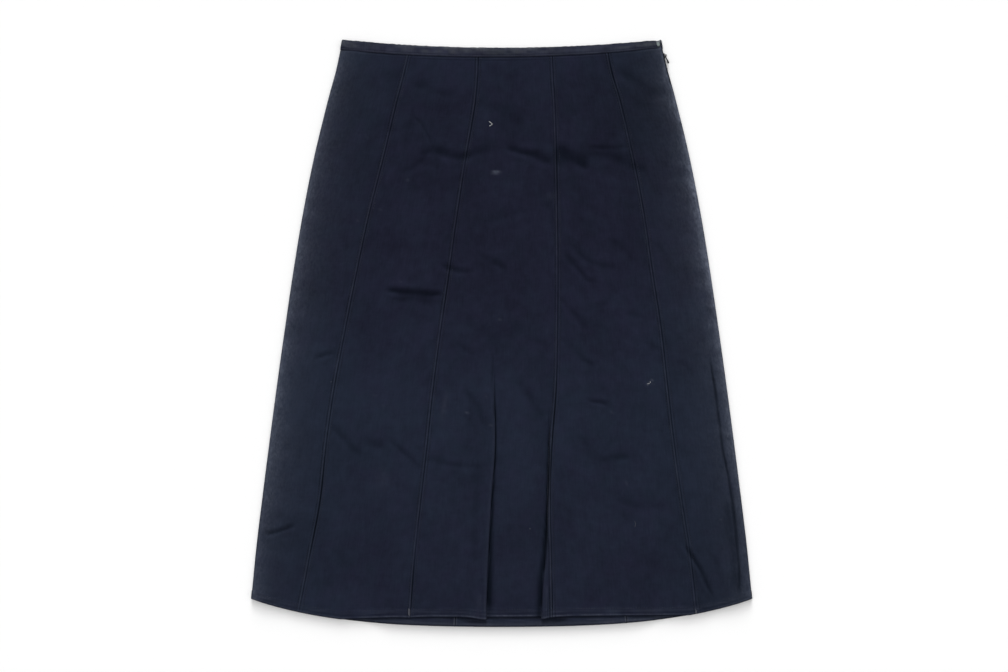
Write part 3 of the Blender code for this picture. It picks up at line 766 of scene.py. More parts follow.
def add_edges(x, y, down, height, wear, shade):
    """Ridges and grooves that run along the waistband and along the hem, with painted shade under the
    band's edge, in the grooves and along the hem's edge, and rubbed lines and streaks at the hem.
    """
    below = below_band(x, y)
    uneven = 1 + 0.35 * ripple(x, 17, 51)
    second = bell(x + 20, 80) * uneven
    height -= 0.75 * (1 - ease(below, -0.3, 2.2))
    height += 0.10 * bell(below - 2.9, 1.3) * uneven
    height -= 0.22 * bell(below - 4.3, 0.7) * second
    wear += 0.03 * bell(below - 2.6, 0.9) * uneven
    # painted shadow under the lower edge of the waistband
    shade += (BAND_SHADOW - 0.30 * ease(x, 120, 172)) * bell(below - 0.5, 0.8)
    shade += 0.28 * bell(below - 4.3, 0.6) * second
    above = y - front_hem_line(x)
    covering = 1 - ease(front_hem_line(x) - back_hem_line(x), 4, 12)
    lifted = covering * ease(side_inset(x, down), 25, 60)
    height += HEM_LIFT * lifted * (1 - ease(above, 0, 45))
    height += 0.22 * (1 - ease(above, HEM_DEPTH - HEM_STEP, HEM_DEPTH + HEM_STEP))
    height -= 0.26 * bell(above - HEM_STITCHING, 0.6) * uneven
    height += 0.10 * rumple(x, y, 5, 30, 52) * bell(above - 5, 5)
    frayed = np.clip(uneven + 0.5 * ripple(x, 4, 53), 0.2, 1.8)
    wear += (0.10 + 0.16 * bell(x, 190)) * bell(above - 1, 0.62) * frayed
    wear += 0.04 * bell(above - 5.6, 1.4) * uneven
    shade += 0.22 * bell(above - HEM_STITCHING, 0.7) + 0.14 * bell(above - 3.4, 0.7)
    # painted shade along the hem's very edge
    shade += (HEM_SHADOW - 0.20 * bell(x, 170)) * bell(above, 0.38)
    drawn = rumple(x, y, 1.15, 40, 54) * bell(x - 54, 9) * ease(-y, 284, 298)
    drawn += rumple(x, y, 1, 26, 55) * bell(x + 22, 5) * ease(-y, 296, 306)
    drawn += 0.6 * rumple(x, y, 16, 1.4, 56) * bell(above - 5, 4.6)
    shade += 0.42 * np.maximum(drawn, 0)
    wear += 0.10 * np.maximum(-drawn, 0)


HEM_DIPS = table(               # the hem hangs a little lower at the corners of the pleat's flaps
    "x width depth",
    (-20, 12, 2.6),
    (46, 9, 2.4),
    (-108, 9, 0.7),
)


def hem_dip(x, down):
    """How far the hem hangs below its line."""
    low = sum(dip.depth * bell(x - dip.x, dip.width) for dip in HEM_DIPS)
    return low * ease(down, 0.93, 1)


# %% Rubbing, painted sheen and shade, marks and tone
MARKS = table(                  # rubbed spots, as soft ellipses
    "x y across along turn paleness",
    (-6.8, 184.9, 4.1, 1.3, 3, 0.7),
    (169.3, -57.6, 2.4, 0.8, 35, 0.42),
    (172.4, -54.4, 1.6, 0.8, 20, 0.36),
    (166.8, -60.2, 1.3, 0.7, 0, 0.18),
    (174.6, -58.6, 1, 1.6, 0, 0.12),
    (142.9, -171.6, 1, 3, 20, 0.1),
    (-39.8, -91, 2.2, 0.9, 0, 0.22),
    (-108.2, 176.6, 1.6, 1.4, 0, 0.1),
    (-112, 177.4, 1.6, 0.8, 0, 0.06),
    (-94, 242, 2.2, 1.2, 0, 0.05),
    (-35.2, 136, 2, 0.8, 0, 0.1),
    (-139.7, 142.4, 2, 0.8, 0, 0.07),
    (-165.5, 129.5, 1.6, 1.4, 0, 0.06),
    (-155, 225.7, 1.6, 1.4, 0, 0.05),
    (58, 158, 7, 4, 0, 0.04),
    (-66, -84, 3, 15, -10, 0.06),
    (-116.3, 60, 1.4, 0.8, -8, 0.12),
    (-1.9, 15.4, 2.4, 0.8, -14, 0.12),
    (-17.7, -72.2, 1.4, 1.2, 0, 0.08),
    (-12.4, -105.3, 2, 0.8, 0, 0.1),
    (-23.5, -115.5, 2.4, 0.7, 0, 0.09),
    (-2, -128, 1.8, 0.7, 0, 0.08),
    (-146, -72, 2, 0.7, 0, 0.08),
    (-136, -83, 1.6, 0.7, 0, 0.06),
    (126, -90.5, 2, 0.8, -12, 0.1),
    (252.4, -214, 0.9, 0.7, 0, 0.3),
    (-228, 22, 1.4, 8, 0, 0.05),
    (-137, -168, 8, 12, 0, 0.03),
)
TONES = table(                  # lightness of the cloth at its left, middle and right, and its hue
    "down left middle right bluish",
    (0.00, 0.20, 0.25, -0.10, 0.45),
    (0.06, 0.05, 0.00, -0.50, 0.40),
    (0.12, -0.25, -0.20, -0.75, 0.30),
    (0.22, -0.25, -0.22, -0.40, 0.15),
    (0.40, -0.12, -0.22, -0.12, 0.10),
    (0.52, 0.12, 0.02, 0.08, 0.40),
    (0.66, 0.36, 0.32, 0.16, 0.80),
    (0.78, 0.16, 0.20, 0.14, 0.65),
    (0.90, 0.06, 0.08, 0.00, 0.50),
    (1.00, 0.10, 0.10, -0.10, 0.45),
)
RIGHT_WEAR_SHEEN_STRIP = table(            # how wide and how pale the side fold is at the right, from rubbing and painted sheen
    "down width paleness",
    (0.00, 2.6, 0.46),
    (0.05, 3.6, 0.62),
    (0.12, 4.2, 0.64),
    (0.19, 3.8, 0.72),
    (0.26, 3.7, 0.92),
    (0.32, 3.5, 0.82),
    (0.39, 4.4, 0.76),
    (0.46, 3.2, 0.66),
    (0.53, 3.8, 0.52),
    (0.61, 3.2, 0.46),
    (0.70, 4.6, 0.38),
    (0.78, 4.6, 0.24),
    (0.87, 5.8, 0.145),
    (1.00, 6.0, 0.15),
)
LEFT_WEAR_SHEEN_STRIP = table(             # and at the left
    "down width paleness",
    (0.00, 5.0, 0.28),
    (0.12, 4.4, 0.28),
    (0.30, 5.6, 0.36),
    (0.46, 4.6, 0.32),
    (0.60, 4.0, 0.46),
    (0.70, 6.8, 0.36),
    (0.80, 7.4, 0.24),
    (0.90, 6.2, 0.165),
    (1.00, 5.2, 0.25),
)
EDGE_LINE = 0.7            # painted shade darkens the very edge over this width
EDGE_SHADOW = 0.72
ZIP_EDGE = 284             # above this height painted shade marks the zip's opening beside the edge
ZIP_SHADOW = 0.8
SIDE_WEAR_SHEEN = 0.15             # both sides are a little paler from rubbing and painted sheen, which fades inwards over these widths
LEFT_WEAR_SHEEN_REACH = 21
RIGHT_WEAR_SHEEN_REACH = 23
FOLD_WEAR = 0.03           # the pleat's folds are hardly rubbed
CRACK_SHADOW = 0.95        # the dark line beside the right fold, above the pleat's open part


def side_wear_sheen_strip(strip, inset, down, seed):
    """Rubbed paleness and painted sheen that fade inwards from a side fold, broken up into fibres."""
    along = down * OVERALL_LENGTH
    width = read_table(strip, "width", down) * (1 + 0.3 * ripple(along, 12, seed))
    fleck = 1 + 0.34 * rumple(inset, along, 1.5, 3, seed + 1)
    fleck += 0.22 * rumple(inset, along, 3.2, 9, seed + 2)
    inset = np.maximum(inset, 0)
    fall = np.exp(-inset / width) + 0.11 * np.exp(-inset / (4 * width))
    return read_table(strip, "paleness", down) * fleck * fall


def add_side_wear_sheen_and_shade(x, y, down, wear, shade):
    """Side folds made paler by rubbing and painted sheen, with painted shade along their very edge and at
    the zip.
    """
    inset = side_inset(x, down)
    # rubbed paleness and painted sheen along each side fold
    wear += np.where(x < 0, side_wear_sheen_strip(LEFT_WEAR_SHEEN_STRIP, inset, down, 61),
                     side_wear_sheen_strip(RIGHT_WEAR_SHEEN_STRIP, inset, down, 64))
    middle = 0.6 + 0.4 * np.sin(np.pi * np.clip((down - 0.06) / 0.80, 0, 1))
    fall = np.exp(-np.maximum(inset, 0) / np.where(x < 0, LEFT_WEAR_SHEEN_REACH, RIGHT_WEAR_SHEEN_REACH))
    wear += SIDE_WEAR_SHEEN * middle * fall
    # painted shade along the very edge of the side folds, and in the zip's opening
    shade += EDGE_SHADOW * (0.5 + 0.5 * ripple(y, 9, 67)) * bell(inset, EDGE_LINE)
    beside_zip = ease(y, ZIP_EDGE - 4, ZIP_EDGE + 6) * (1 - ease(inset, 0.9, 2.2))
    shade += np.where(x > 0, ZIP_SHADOW * beside_zip, 0)


def add_marks(x, y, wear):
    for mark in MARKS:
        turn = math.radians(mark.turn)
        along = (x - mark.x) * math.cos(turn) + (y - mark.y) * math.sin(turn)
        over = (y - mark.y) * math.cos(turn) - (x - mark.x) * math.sin(turn)
        wear += mark.paleness * np.exp(-(along / mark.across) ** 2 - (over / mark.along) ** 2)


def add_pleat_shadow(x, y, down, wear, shade):
    """Shadow of the recess between the folds, which spreads out from each towards the hem."""
    left, right = pleat_lines(down)
    left_turn = fold_shape(down, LEFT_PLEAT_TOP).turn
    right_turn = fold_shape(down, RIGHT_PLEAT_TOP).turn
    wear += FOLD_WEAR * (left_turn * bell(x - left + 1.6, 1.5) + right_turn * bell(x - right - 1.6, 1.5))
    inside = ease(x, left - 0.2, left + 0.6) * (1 - ease(x, right - 0.6, right + 0.2))
    from_hem = y - front_hem_line(x)
    spread = 2.1 + 2.1 * ease(down, 0.71, 0.845) + 2.9 * ease(down, 0.845, 0.95)
    right_spread = 2.3 + 2 * ease(down, 0.80, 0.88) + 2.5 * ease(down, 0.86, 0.95)
    shade += CRACK_SHADOW * right_turn * (1 - ease(down, 0.86, 0.93)) * bell(x - right - 0.2, 0.9)
    left_dark = left_turn * (0.35 + 0.65 * ease(from_hem, 3, 18))
    right_dark = right_turn * (0.80 + 0.20 * ease(from_hem, 3, 18))
    shade += inside * (left_dark * np.exp(-(np.maximum(x - left, 0) / spread) ** 4.2)
                       + right_dark * np.exp(-(np.maximum(right - x, 0) / right_spread) ** 3.8))


SIDE_GREY = 0.40           # the outer panels are this much less violet than the middle ones


def cloth_tone(x, down):
    """Lightness of the cloth and how bluish it is, from the table of tones."""
    out = np.clip(x / side_line(down), -1, 1)
    middle = read_table(TONES, "middle", down)
    sides = np.where(out < 0, read_table(TONES, "left", down), read_table(TONES, "right", down))
    bluish = read_table(TONES, "bluish", down) + SIDE_GREY * ease(abs(out), 0.55, 0.80)
    return middle + (sides - middle) * ease(abs(out), 0.15, 0.75), bluish


# %% [markdown]
# ## From a grid of points to cloth
# A sheet of cloth is a grid of points in rows and columns, the middle of its wall. `make_cloth` gives
# the grid a real thickness, which may change from row to row, such as where a hem is turned under. It
# wraps the rows round from the upper face, over a rounded edge, to the lower face and back. Blender's
# Solidify modifier could add a wall too, but its edges are square, and a hem has a soft round edge.
#
# The sheet also carries four values at each point for its material: where the point lies in the flat
# cloth, how pale it is from rubbing and painted sheen, how much painted shade it has, and its tone.

# %% Cloth builder
EDGE_ANGLES = (60, 25, -25, -60)
SHARP_ANGLE = 55


def unit(vectors):
    return vectors / np.maximum(np.linalg.norm(vectors, axis=-1, keepdims=True), 1e-9)


def mesh_object(name, points, faces, material, values=None):
    """A mesh from points in millimetres, with values kept at its points for the material."""
    mesh = bpy.data.meshes.new(name)
    mesh.from_pydata((np.asarray(points, float).reshape(-1, 3) * MM).tolist(), [], faces)
    for value_name, value in (values or {}).items():
        kind, field = ("FLOAT_VECTOR", "vector") if value.ndim == 2 else ("FLOAT", "value")
        kept = mesh.attributes.new(value_name, kind, "POINT")
        kept.data.foreach_set(field, value.astype(np.float32).ravel())
    mesh.polygons.foreach_set("use_smooth", [True] * len(mesh.polygons))
    mesh.materials.append(material)
    mesh.update()
    return add_object(name, mesh)


def make_cloth(name, middle, wall, material, values):
    """A closed sheet: middle is rows x columns x 3, wall its thickness at each point."""
    down_rows = np.gradient(middle, axis=0)
    across = np.gradient(middle, axis=1)
    normal = unit(np.cross(across, -down_rows))
    half = (wall / 2)[..., None]
    top = middle + normal * half
    under = middle - normal * half
    angles = np.radians(EDGE_ANGLES)

    def rounded(row, outward):
        out = unit(outward - (outward * normal[row]).sum(-1, keepdims=True) * normal[row])
        return [middle[row] + half[row] * (out * math.cos(a) + normal[row] * math.sin(a)) for a in angles]

    last = len(middle) - 1
    hem_edge = rounded(last, middle[last] - middle[last - 1])
    top_edge = rounded(0, middle[0] - middle[1])[::-1]
    rings = np.concatenate([top, hem_edge, under[::-1], top_edge])
    row_of = [*range(last + 1), *[last] * len(angles), *range(last, -1, -1), *[0] * len(angles)]
    ring_count, columns = rings.shape[:2]
    faces = []
    for ring in range(ring_count):
        following = (ring + 1) % ring_count
        for column in range(columns - 1):
            faces.append((ring * columns + column, following * columns + column,
                          following * columns + column + 1, ring * columns + column + 1))
    mirror = [(last + 1 + len(angles) + last - row) for row in range(last + 1)]
    for column, flip in ((0, False), (columns - 1, True)):
        for row in range(last):
            corner = [row, mirror[row], mirror[row + 1], row + 1]
            face = tuple(ring * columns + column for ring in corner)
            faces.append(face[::-1] if flip else face)
        for rim in (range(last, mirror[last] + 1), list(range(mirror[0], ring_count)) + [0]):
            face = tuple(ring * columns + column for ring in rim)
            faces.append(face[::-1] if not flip else face)
    kept = {key: value[row_of].reshape(ring_count * columns, *value.shape[2:])
            for key, value in values.items()}
    piece = mesh_object(name, rings, faces, material, kept)
    piece.data.set_sharp_from_angle(angle=math.radians(SHARP_ANGLE))
    return piece


def triangles(piece):
    return sum(len(face.vertices) - 2 for face in piece.data.polygons)


def settle(piece, node=None, body="skirt"):
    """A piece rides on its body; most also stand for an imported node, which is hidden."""
    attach(piece, body)
    if node:
        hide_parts(node)


# %% [markdown]
# ## Twill and how it ages
# Navy twill shows fine diagonal ribs, yarns of uneven thickness, and a dye that has faded in soft
# patches to a greyer blue. It is palest where it is rubbed: on ridges, folds and edges. Along the side
# folds painted sheen adds to that paleness, and painted shade darkens creases, ditches and recesses.
# Each of these effects is a small node group, built once, and each cloth places the same groups with
# its own values. Image textures would tie the part to one picture; these patterns work at any size.

# %% Node group helpers
FLOAT = "NodeSocketFloat"
VECTOR = "NodeSocketVector"
COLOUR = "NodeSocketColor"


def make_group(name, inputs, outputs):
    """A node group; each socket is given as its kind, or as a number to start from."""
    tree = bpy.data.node_groups.new(name, "ShaderNodeTree")
    for socket_name, kind in inputs.items():
        if isinstance(kind, float):
            socket = tree.interface.new_socket(socket_name, in_out="INPUT", socket_type=FLOAT)
            socket.default_value = kind
        else:
            tree.interface.new_socket(socket_name, in_out="INPUT", socket_type=kind)
    for socket_name, kind in outputs.items():
        tree.interface.new_socket(socket_name, in_out="OUTPUT", socket_type=kind)
    return tree, add_node(tree, "NodeGroupInput").outputs, add_node(tree, "NodeGroupOutput").inputs


def place_group(tree, group, **values):
    """Place a group; underscores in the keys stand for spaces in its socket names."""
    node = add_node(tree, "ShaderNodeGroup", node_tree=group)
    for key, value in values.items():
        socket = node.inputs[key.replace("_", " ")]
        if isinstance(value, bpy.types.NodeSocket):
            link(value, socket)
        else:
            socket.default_value = (*value, 1) if isinstance(value, tuple) else value
    return node.outputs


def stretched(vector, width, length):
    """Scale a vector so that one unit is width across and length along."""
    tree = vector.id_data
    split = add_node(tree, "ShaderNodeSeparateXYZ")
    link(vector, split.inputs[0])
    joined = add_node(tree, "ShaderNodeCombineXYZ")
    link(maths("DIVIDE", split.outputs[0], width), joined.inputs[0])
    link(maths("DIVIDE", split.outputs[1], length), joined.inputs[1])
    link(split.outputs[2], joined.inputs[2])
    return joined.outputs[0]


# %% Group: twill weave
def make_twill_group():
    """Diagonal ribs broken by the yarns that cross them."""
    tree, given, result = make_group(
        "twill weave", {"Cloth": VECTOR, "Rib Spacing": 0.0007, "Unevenness": 1.6}, {"Height": FLOAT})
    scaled = stretched(given["Cloth"], given["Rib Spacing"], given["Rib Spacing"])
    split = add_node(tree, "ShaderNodeSeparateXYZ")
    link(scaled, split.inputs[0])
    wobble = add_node(tree, "ShaderNodeTexNoise", noise_dimensions="3D")
    wobble.inputs["Scale"].default_value = 0.45
    link(scaled, wobble.inputs["Vector"])
    shift = times(wobble.outputs[0], given["Unevenness"])
    slant = plus(times(split.outputs[0], 0.70), times(split.outputs[1], 0.71))
    wave = maths("SINE", times(plus(slant, shift), 2 * math.pi))
    yarn = maths("SINE", times(split.outputs[1], 4.4 * math.pi))
    rib = plus(times(wave, 0.36), 0.5)
    link(plus(rib, times(yarn, 0.12)), result["Height"])
    return tree


twill_group = make_twill_group()


# %% Group: uneven dye
def make_dye_group():
    """Soft random lighter and darker patches or streaks of any size, centred on 0."""
    tree, given, result = make_group(
        "uneven dye", {"Cloth": VECTOR, "Patch Width": 0.03, "Patch Length": 0.03, "Amount": 1.0},
        {"Lightness": FLOAT})
    cloud = add_node(tree, "ShaderNodeTexNoise", noise_dimensions="3D")
    cloud.inputs["Scale"].default_value = 1
    cloud.inputs["Detail"].default_value = 2
    link(stretched(given["Cloth"], given["Patch Width"], given["Patch Length"]), cloud.inputs["Vector"])
    centred = times(minus(cloud.outputs[0], 0.5), 3)
    link(times(centred, given["Amount"]), result["Lightness"])
    return tree


dye_group = make_dye_group()


# %% Group: worn cloth
def make_wear_and_light_group():
    """Colour of dyed cloth from its tone, its hue, how pale it is from rubbing and painted sheen, and its
    painted shade.
    """
    tree, given, result = make_group(
        "cloth with rubbing and painted light",
        {"Deep Colour": COLOUR, "Bluish Colour": COLOUR, "Worn Colour": COLOUR, "Shadow Colour": COLOUR,
         "Tone": 0.0, "Bluish": 0.5, "Wear": 0.0, "Shade": 0.0, "Fibre": 0.0},
        {"Colour": COLOUR, "Worn": FLOAT})
    bluish = plus(given["Bluish"], 0, clamp=True)
    dyed = mix_colours(bluish, given["Deep Colour"], given["Bluish Colour"])
    light = maths("MAXIMUM", plus(given["Tone"], 1), 0.2)
    toned = add_node(tree, "ShaderNodeVectorMath", operation="SCALE")
    link(dyed, toned.inputs[0])
    link(light, toned.inputs["Scale"])
    patchy = maths("MAXIMUM", plus(given["Fibre"], 1), 0)
    # pale mask from rubbing and painted sheen
    worn = times(given["Wear"], patchy, clamp=True)
    faded = mix_colours(worn, toned.outputs[0], given["Worn Colour"])
    # painted shade mixes the colour towards the shadow colour
    depth = times(given["Shade"], 0.94, clamp=True)
    link(mix_colours(depth, faded, given["Shadow Colour"]), result["Colour"])
    link(worn, result["Worn"])
    return tree


wear_and_light_group = make_wear_and_light_group()


# %% Group: lint
def make_lint_group():
    """Tiny pale fibres that cling to the cloth, far apart."""
    tree, given, result = make_group(
        "clinging lint", {"Cloth": VECTOR, "Spacing": 0.012, "Share": 0.06}, {"Lint": FLOAT})
    cells = add_node(tree, "ShaderNodeTexVoronoi", voronoi_dimensions="3D", feature="F1")
    cells.inputs["Scale"].default_value = 1
    link(stretched(given["Cloth"], given["Spacing"], given["Spacing"]), cells.inputs["Vector"])
    split = add_node(tree, "ShaderNodeSeparateColor")
    link(cells.outputs["Color"], split.inputs[0])
    chosen = maths("LESS_THAN", split.outputs[0], given["Share"])
    near = maths("LESS_THAN", cells.outputs["Distance"], 0.055)
    link(times(chosen, near), result["Lint"])
    return tree


lint_group = make_lint_group()
print("node groups:", [group.name for group in (twill_group, dye_group, wear_and_light_group, lint_group)])

# %% Twill materials
# the colour that painted shade mixes towards
SHADOW_COLOUR = (0.0015, 0.0030, 0.0062)
LINT_COLOUR = (0.12, 0.13, 0.15)
Twill = namedtuple("Twill", "deep bluish worn rib_spacing slub cloud lint sheen")
# worn is the pale colour towards which both rubbing and the painted sheen along the side folds mix
TWILLS = {
    "front twill": Twill((0.0117, 0.0131, 0.0270), (0.0112, 0.0154, 0.0280), (0.111, 0.125, 0.166),
                         0.00070, 0.13, 0.17, 0.016, 0.01),
    "back twill": Twill((0.0118, 0.0140, 0.0260), (0.0118, 0.0162, 0.0275), (0.120, 0.128, 0.155),
                        0.00070, 0.13, 0.16, 0.010, 0.01),
    "waistband twill": Twill((0.0190, 0.0205, 0.0360), (0.0190, 0.0235, 0.0370), (0.130, 0.140, 0.150),
                             0.00065, 0.20, 0.30, 0.012, 0.01),
}


def read_value(tree, name):
    """A value kept at the points of a sheet of cloth."""
    return add_node(tree, "ShaderNodeAttribute", attribute_type="GEOMETRY", attribute_name=name).outputs


def make_twill(name, twill):
    material, tree, shader = new_material(name)
    cloth = read_value(tree, "cloth")["Vector"]

    def dye(width, length, amount):
        return place_group(tree, dye_group, Cloth=cloth, Patch_Width=width, Patch_Length=length,
                           Amount=amount)["Lightness"]

    slubs = dye(0.0010, 0.019, twill.slub)
    threads = dye(0.019, 0.0008, twill.slub * 0.5)
    clouds = dye(0.046, 0.056, twill.cloud)
    blotches = dye(0.0105, 0.0125, twill.cloud * 0.85)
    flecks = dye(0.0034, 0.0046, twill.cloud * 0.45)
    weave = place_group(tree, twill_group, Cloth=cloth, Rib_Spacing=twill.rib_spacing)["Height"]
    light = times(read_value(tree, "tone")["Fac"], 0.42)
    for part in (slubs, threads, clouds, blotches, flecks):
        light = plus(light, part)
    light = plus(light, times(minus(weave, 0.5), 0.16))
    hue = plus(read_value(tree, "bluish")["Fac"], dye(0.021, 0.021, 0.55))
    fibre = plus(dye(0.0015, 0.0034, 0.55), dye(0.0042, 0.0060, 0.22))
    # the cloth is paled by rubbing and by painted sheen, and darkened by painted shade
    worn = place_group(tree, wear_and_light_group, Deep_Colour=twill.deep, Bluish_Colour=twill.bluish,
                       Worn_Colour=twill.worn, Shadow_Colour=SHADOW_COLOUR, Tone=light, Bluish=hue,
                       Wear=read_value(tree, "wear")["Fac"], Shade=read_value(tree, "shade")["Fac"],
                       Fibre=fibre)
    lint = place_group(tree, lint_group, Cloth=cloth, Share=twill.lint)["Lint"]
    link(mix_colours(times(lint, 0.35), worn["Colour"], LINT_COLOUR), shader.inputs["Base Color"])
    rough = minus(0.92, times(weave, 0.06))
    link(plus(rough, times(worn["Worn"], 0.06)), shader.inputs["Roughness"])
    shader.inputs["Specular IOR Level"].default_value = 0.03
    shader.inputs["Sheen Weight"].default_value = twill.sheen
    shader.inputs["Sheen Roughness"].default_value = 0.45
    add_bump(shader, plus(weave, times(slubs, 2)), 0.5, 0.00016)
    return material


twills = {name: make_twill(name, twill) for name, twill in TWILLS.items()}
print("cloths:", list(twills))

# %% [markdown]
# ## Front gores
# The five front panels are cut to follow the waist and to flare to the hem. Each is one sheet whose
# columns of points crowd together beside the seams and the side folds, where the relief is fine, and
# spread out between them. The rows crowd together at the waistband and the hem for the same reason.

# %% Rows and columns
LEFT_OF_JOIN = (0, 0.35, 0.7, 1, 1.3, 1.6, 2, 2.5, 2.9, 3.2, 3.5, 3.9, 4.5, 5.3, 5.9, 6.4, 7.4, 9)
RIGHT_OF_JOIN = (0, 0.3, 0.6, 1, 1.5, 2, 2.5, 3, 3.4, 3.9, 4.8, 6, 7.6)
SIDE_INSETS = (0.004, 0.06, 0.22, 0.5, 0.9, 1.5, 2.1, 2.8, 3.6, 4.5, 5.5, 6.6, 7.8, 9, 10.2, 11.4, 12.6,
               14, 16, 18.5)
JOIN_GAP = 0.03            # half the gap between two gores
COLUMN_SPACING = 2.7
ROW_SPACING = 2.4
FINE_TOP = (0, 0.45, 0.9, 1.4, 2, 2.6, 3.2, 3.8, 4.5, 5.2, 6, 7.4)
FINE_HEM = (13.5, 12.3, 11.3, 10.5, 9.8, 9.2, 8.6, 8, 7.2, 6.2, 5, 3.8, 2.6, 1.6, 0.8, 0.3, 0)


def row_levels(spacing, fine_top=FINE_TOP, fine_hem=FINE_HEM):
    """Levels of the rows of a gore: even, but close together at its top and at its hem."""
    length = OVERALL_LENGTH * (1 - DOWN_START)
    count = round((length - fine_top[-1] - fine_hem[0]) / spacing)
    plain = np.linspace(fine_top[-1], length - fine_hem[0], count + 1)[1:-1]
    drops = np.concatenate([fine_top, plain, length - np.array(fine_hem)])
    return DOWN_START + (1 - DOWN_START) * drops / length


def fill_columns(left, right, spacing):
    """Columns between the last of the left ones and the first of the right ones."""
    count = int(np.ceil((right[:, 0] - left[:, -1]).max() / spacing))
    shares = np.linspace(0, 1, count + 1)[1:-1]
    middle = left[:, -1:] + (right[:, :1] - left[:, -1:]) * shares
    return np.hstack([left, middle, right])


PLACKET_OPENING = 3.6
PLACKET_DROP = 0.066


def fold_insets(sign, down, insets, radius):
    """Columns in from a side fold. At the top of the zip the cloth's edge stands back."""
    opening = PLACKET_OPENING * np.maximum(1 - down / PLACKET_DROP, 0) if sign > 0 else down * 0
    start = radius - np.sqrt(np.maximum(radius ** 2 - np.minimum(opening / 2, radius) ** 2, 0))
    insets = np.array(insets)
    return insets[None, :] + start[:, None] * np.clip(1 - insets / insets[-1], 0, 1)


rows = row_levels(ROW_SPACING)
print("rows of points:", len(rows))

# %% Front cloth
CLOTH_ORIGINS = {}         # each piece is cut from its own place in the cloth


def cloth_place(name, x, y, middle_x):
    """Where points lie in the flat cloth, in metres, with the grain along the panel's middle."""
    origin = CLOTH_ORIGINS.setdefault(name, 0.61 * (len(CLOTH_ORIGINS) + 1))
    return np.stack([(x - middle_x) * MM + origin, y * MM + origin, np.full(x.shape, origin)], axis=-1)


Surface = namedtuple("Surface", "middle wall values")


def hem_wall(above, single):
    """Thickness of a gore above its hem's edge: it is double where the hem is turned up."""
    return single + (DOUBLE_WALL - single) * (1 - ease(above, HEM_DEPTH - 0.7, HEM_DEPTH + 0.7))


def front_surface(x, down, level, flap=1):
    """The relief on the front: the middle of the cloth, its wall, and the values for its material."""
    y = gore_place(x, down, front_hem_line)
    height = level.copy()
    wear = np.zeros(x.shape)
    shade = np.zeros(x.shape)
    add_seams(x, y, down, height, wear, shade)
    add_creases(x, y, height, shade)
    add_swells(x, y, down, height)
    add_edges(x, y, down, height, wear, shade)
    add_side_wear_sheen_and_shade(x, y, down, wear, shade)
    add_marks(x, y, wear)
    add_pleat_shadow(x, y, down, wear, shade)
    tone, bluish = cloth_tone(x, down)
    wall = hem_wall(y - front_hem_line(x), WALL)
    wall *= 0.65 + 0.35 * ease(below_band(x, y), 0, 2.5)
    middle = np.stack([x, y - flap * hem_dip(x, down), height], axis=-1)
    return Surface(middle, wall, {"wear": np.clip(wear, 0, 1), "shade": np.clip(shade, 0, 1),
                                  "tone": tone, "bluish": bluish})


def lay(name, x, down, level, flap=1):
    """Add the relief to a grid of front cloth and make the piece."""
    surface = front_surface(x, down, level, flap)
    panel_middle = x.mean(axis=1, keepdims=True)
    values = {"cloth": cloth_place(name, x, surface.middle[..., 1], panel_middle), **surface.values}
    return make_cloth(name, surface.middle, surface.wall, twills["front twill"], values), surface.middle


def declare(piece, node):
    """Attach the sheet to the skirt's body and hide the imported part that it replaces."""
    settle(piece, node)


# %% Plain front gores
def beside_join(name, offsets, sign):
    """Columns beside a seam's join, to its left (-1) or to its right (1)."""
    columns = seam_line(name, rows)[:, None] + JOIN_OUT + sign * (np.array(offsets)[None, :] + JOIN_GAP)
    return columns if sign > 0 else columns[:, ::-1]


def declare_front(number, piece, middle):
    declare(piece, f"front_gore_{number}")


def front_gore(number, left, right):
    x = fill_columns(left, right, COLUMN_SPACING)
    down = np.broadcast_to(rows[:, None], x.shape)
    declare_front(number, *lay(f"front_gore_{number}_cloth", x, down, front_height(x, down)))


fold_line = side_line(rows)[:, None]
front_edges = ((1, fold_insets(-1, rows, SIDE_INSETS, FRONT_NOSE) - fold_line,
                beside_join("seam_1", LEFT_OF_JOIN, -1)),
               (2, beside_join("seam_1", RIGHT_OF_JOIN, 1), beside_join("seam_2", LEFT_OF_JOIN, -1)),
               (4, beside_join("seam_3", RIGHT_OF_JOIN, 1), beside_join("seam_4", LEFT_OF_JOIN, -1)),
               (5, beside_join("seam_4", RIGHT_OF_JOIN, 1),
                fold_line - fold_insets(1, rows, SIDE_INSETS, FRONT_NOSE)[:, ::-1]))
for gore_number, left_columns, right_columns in front_edges:
    front_gore(gore_number, left_columns, right_columns)

# %% [markdown]
# ## The pleat
# The middle panel is one uncut sheet. Below the hips it folds right under along two lines, so that
# its edges overhang a recessed strip. A pleat made of three separate strips would show wrong edges
# at the hem, so the sheet really doubles back: each row of points follows the folded section from
# the left seam, over the first fold, under it, across the strip, and out again over the second.

# %% Section of a fold
ARC_STEPS = 8
LEAD_STEPS = 5
FOLD_STEPS = (LEAD_STEPS, ARC_STEPS, 4, ARC_STEPS, LEAD_STEPS)


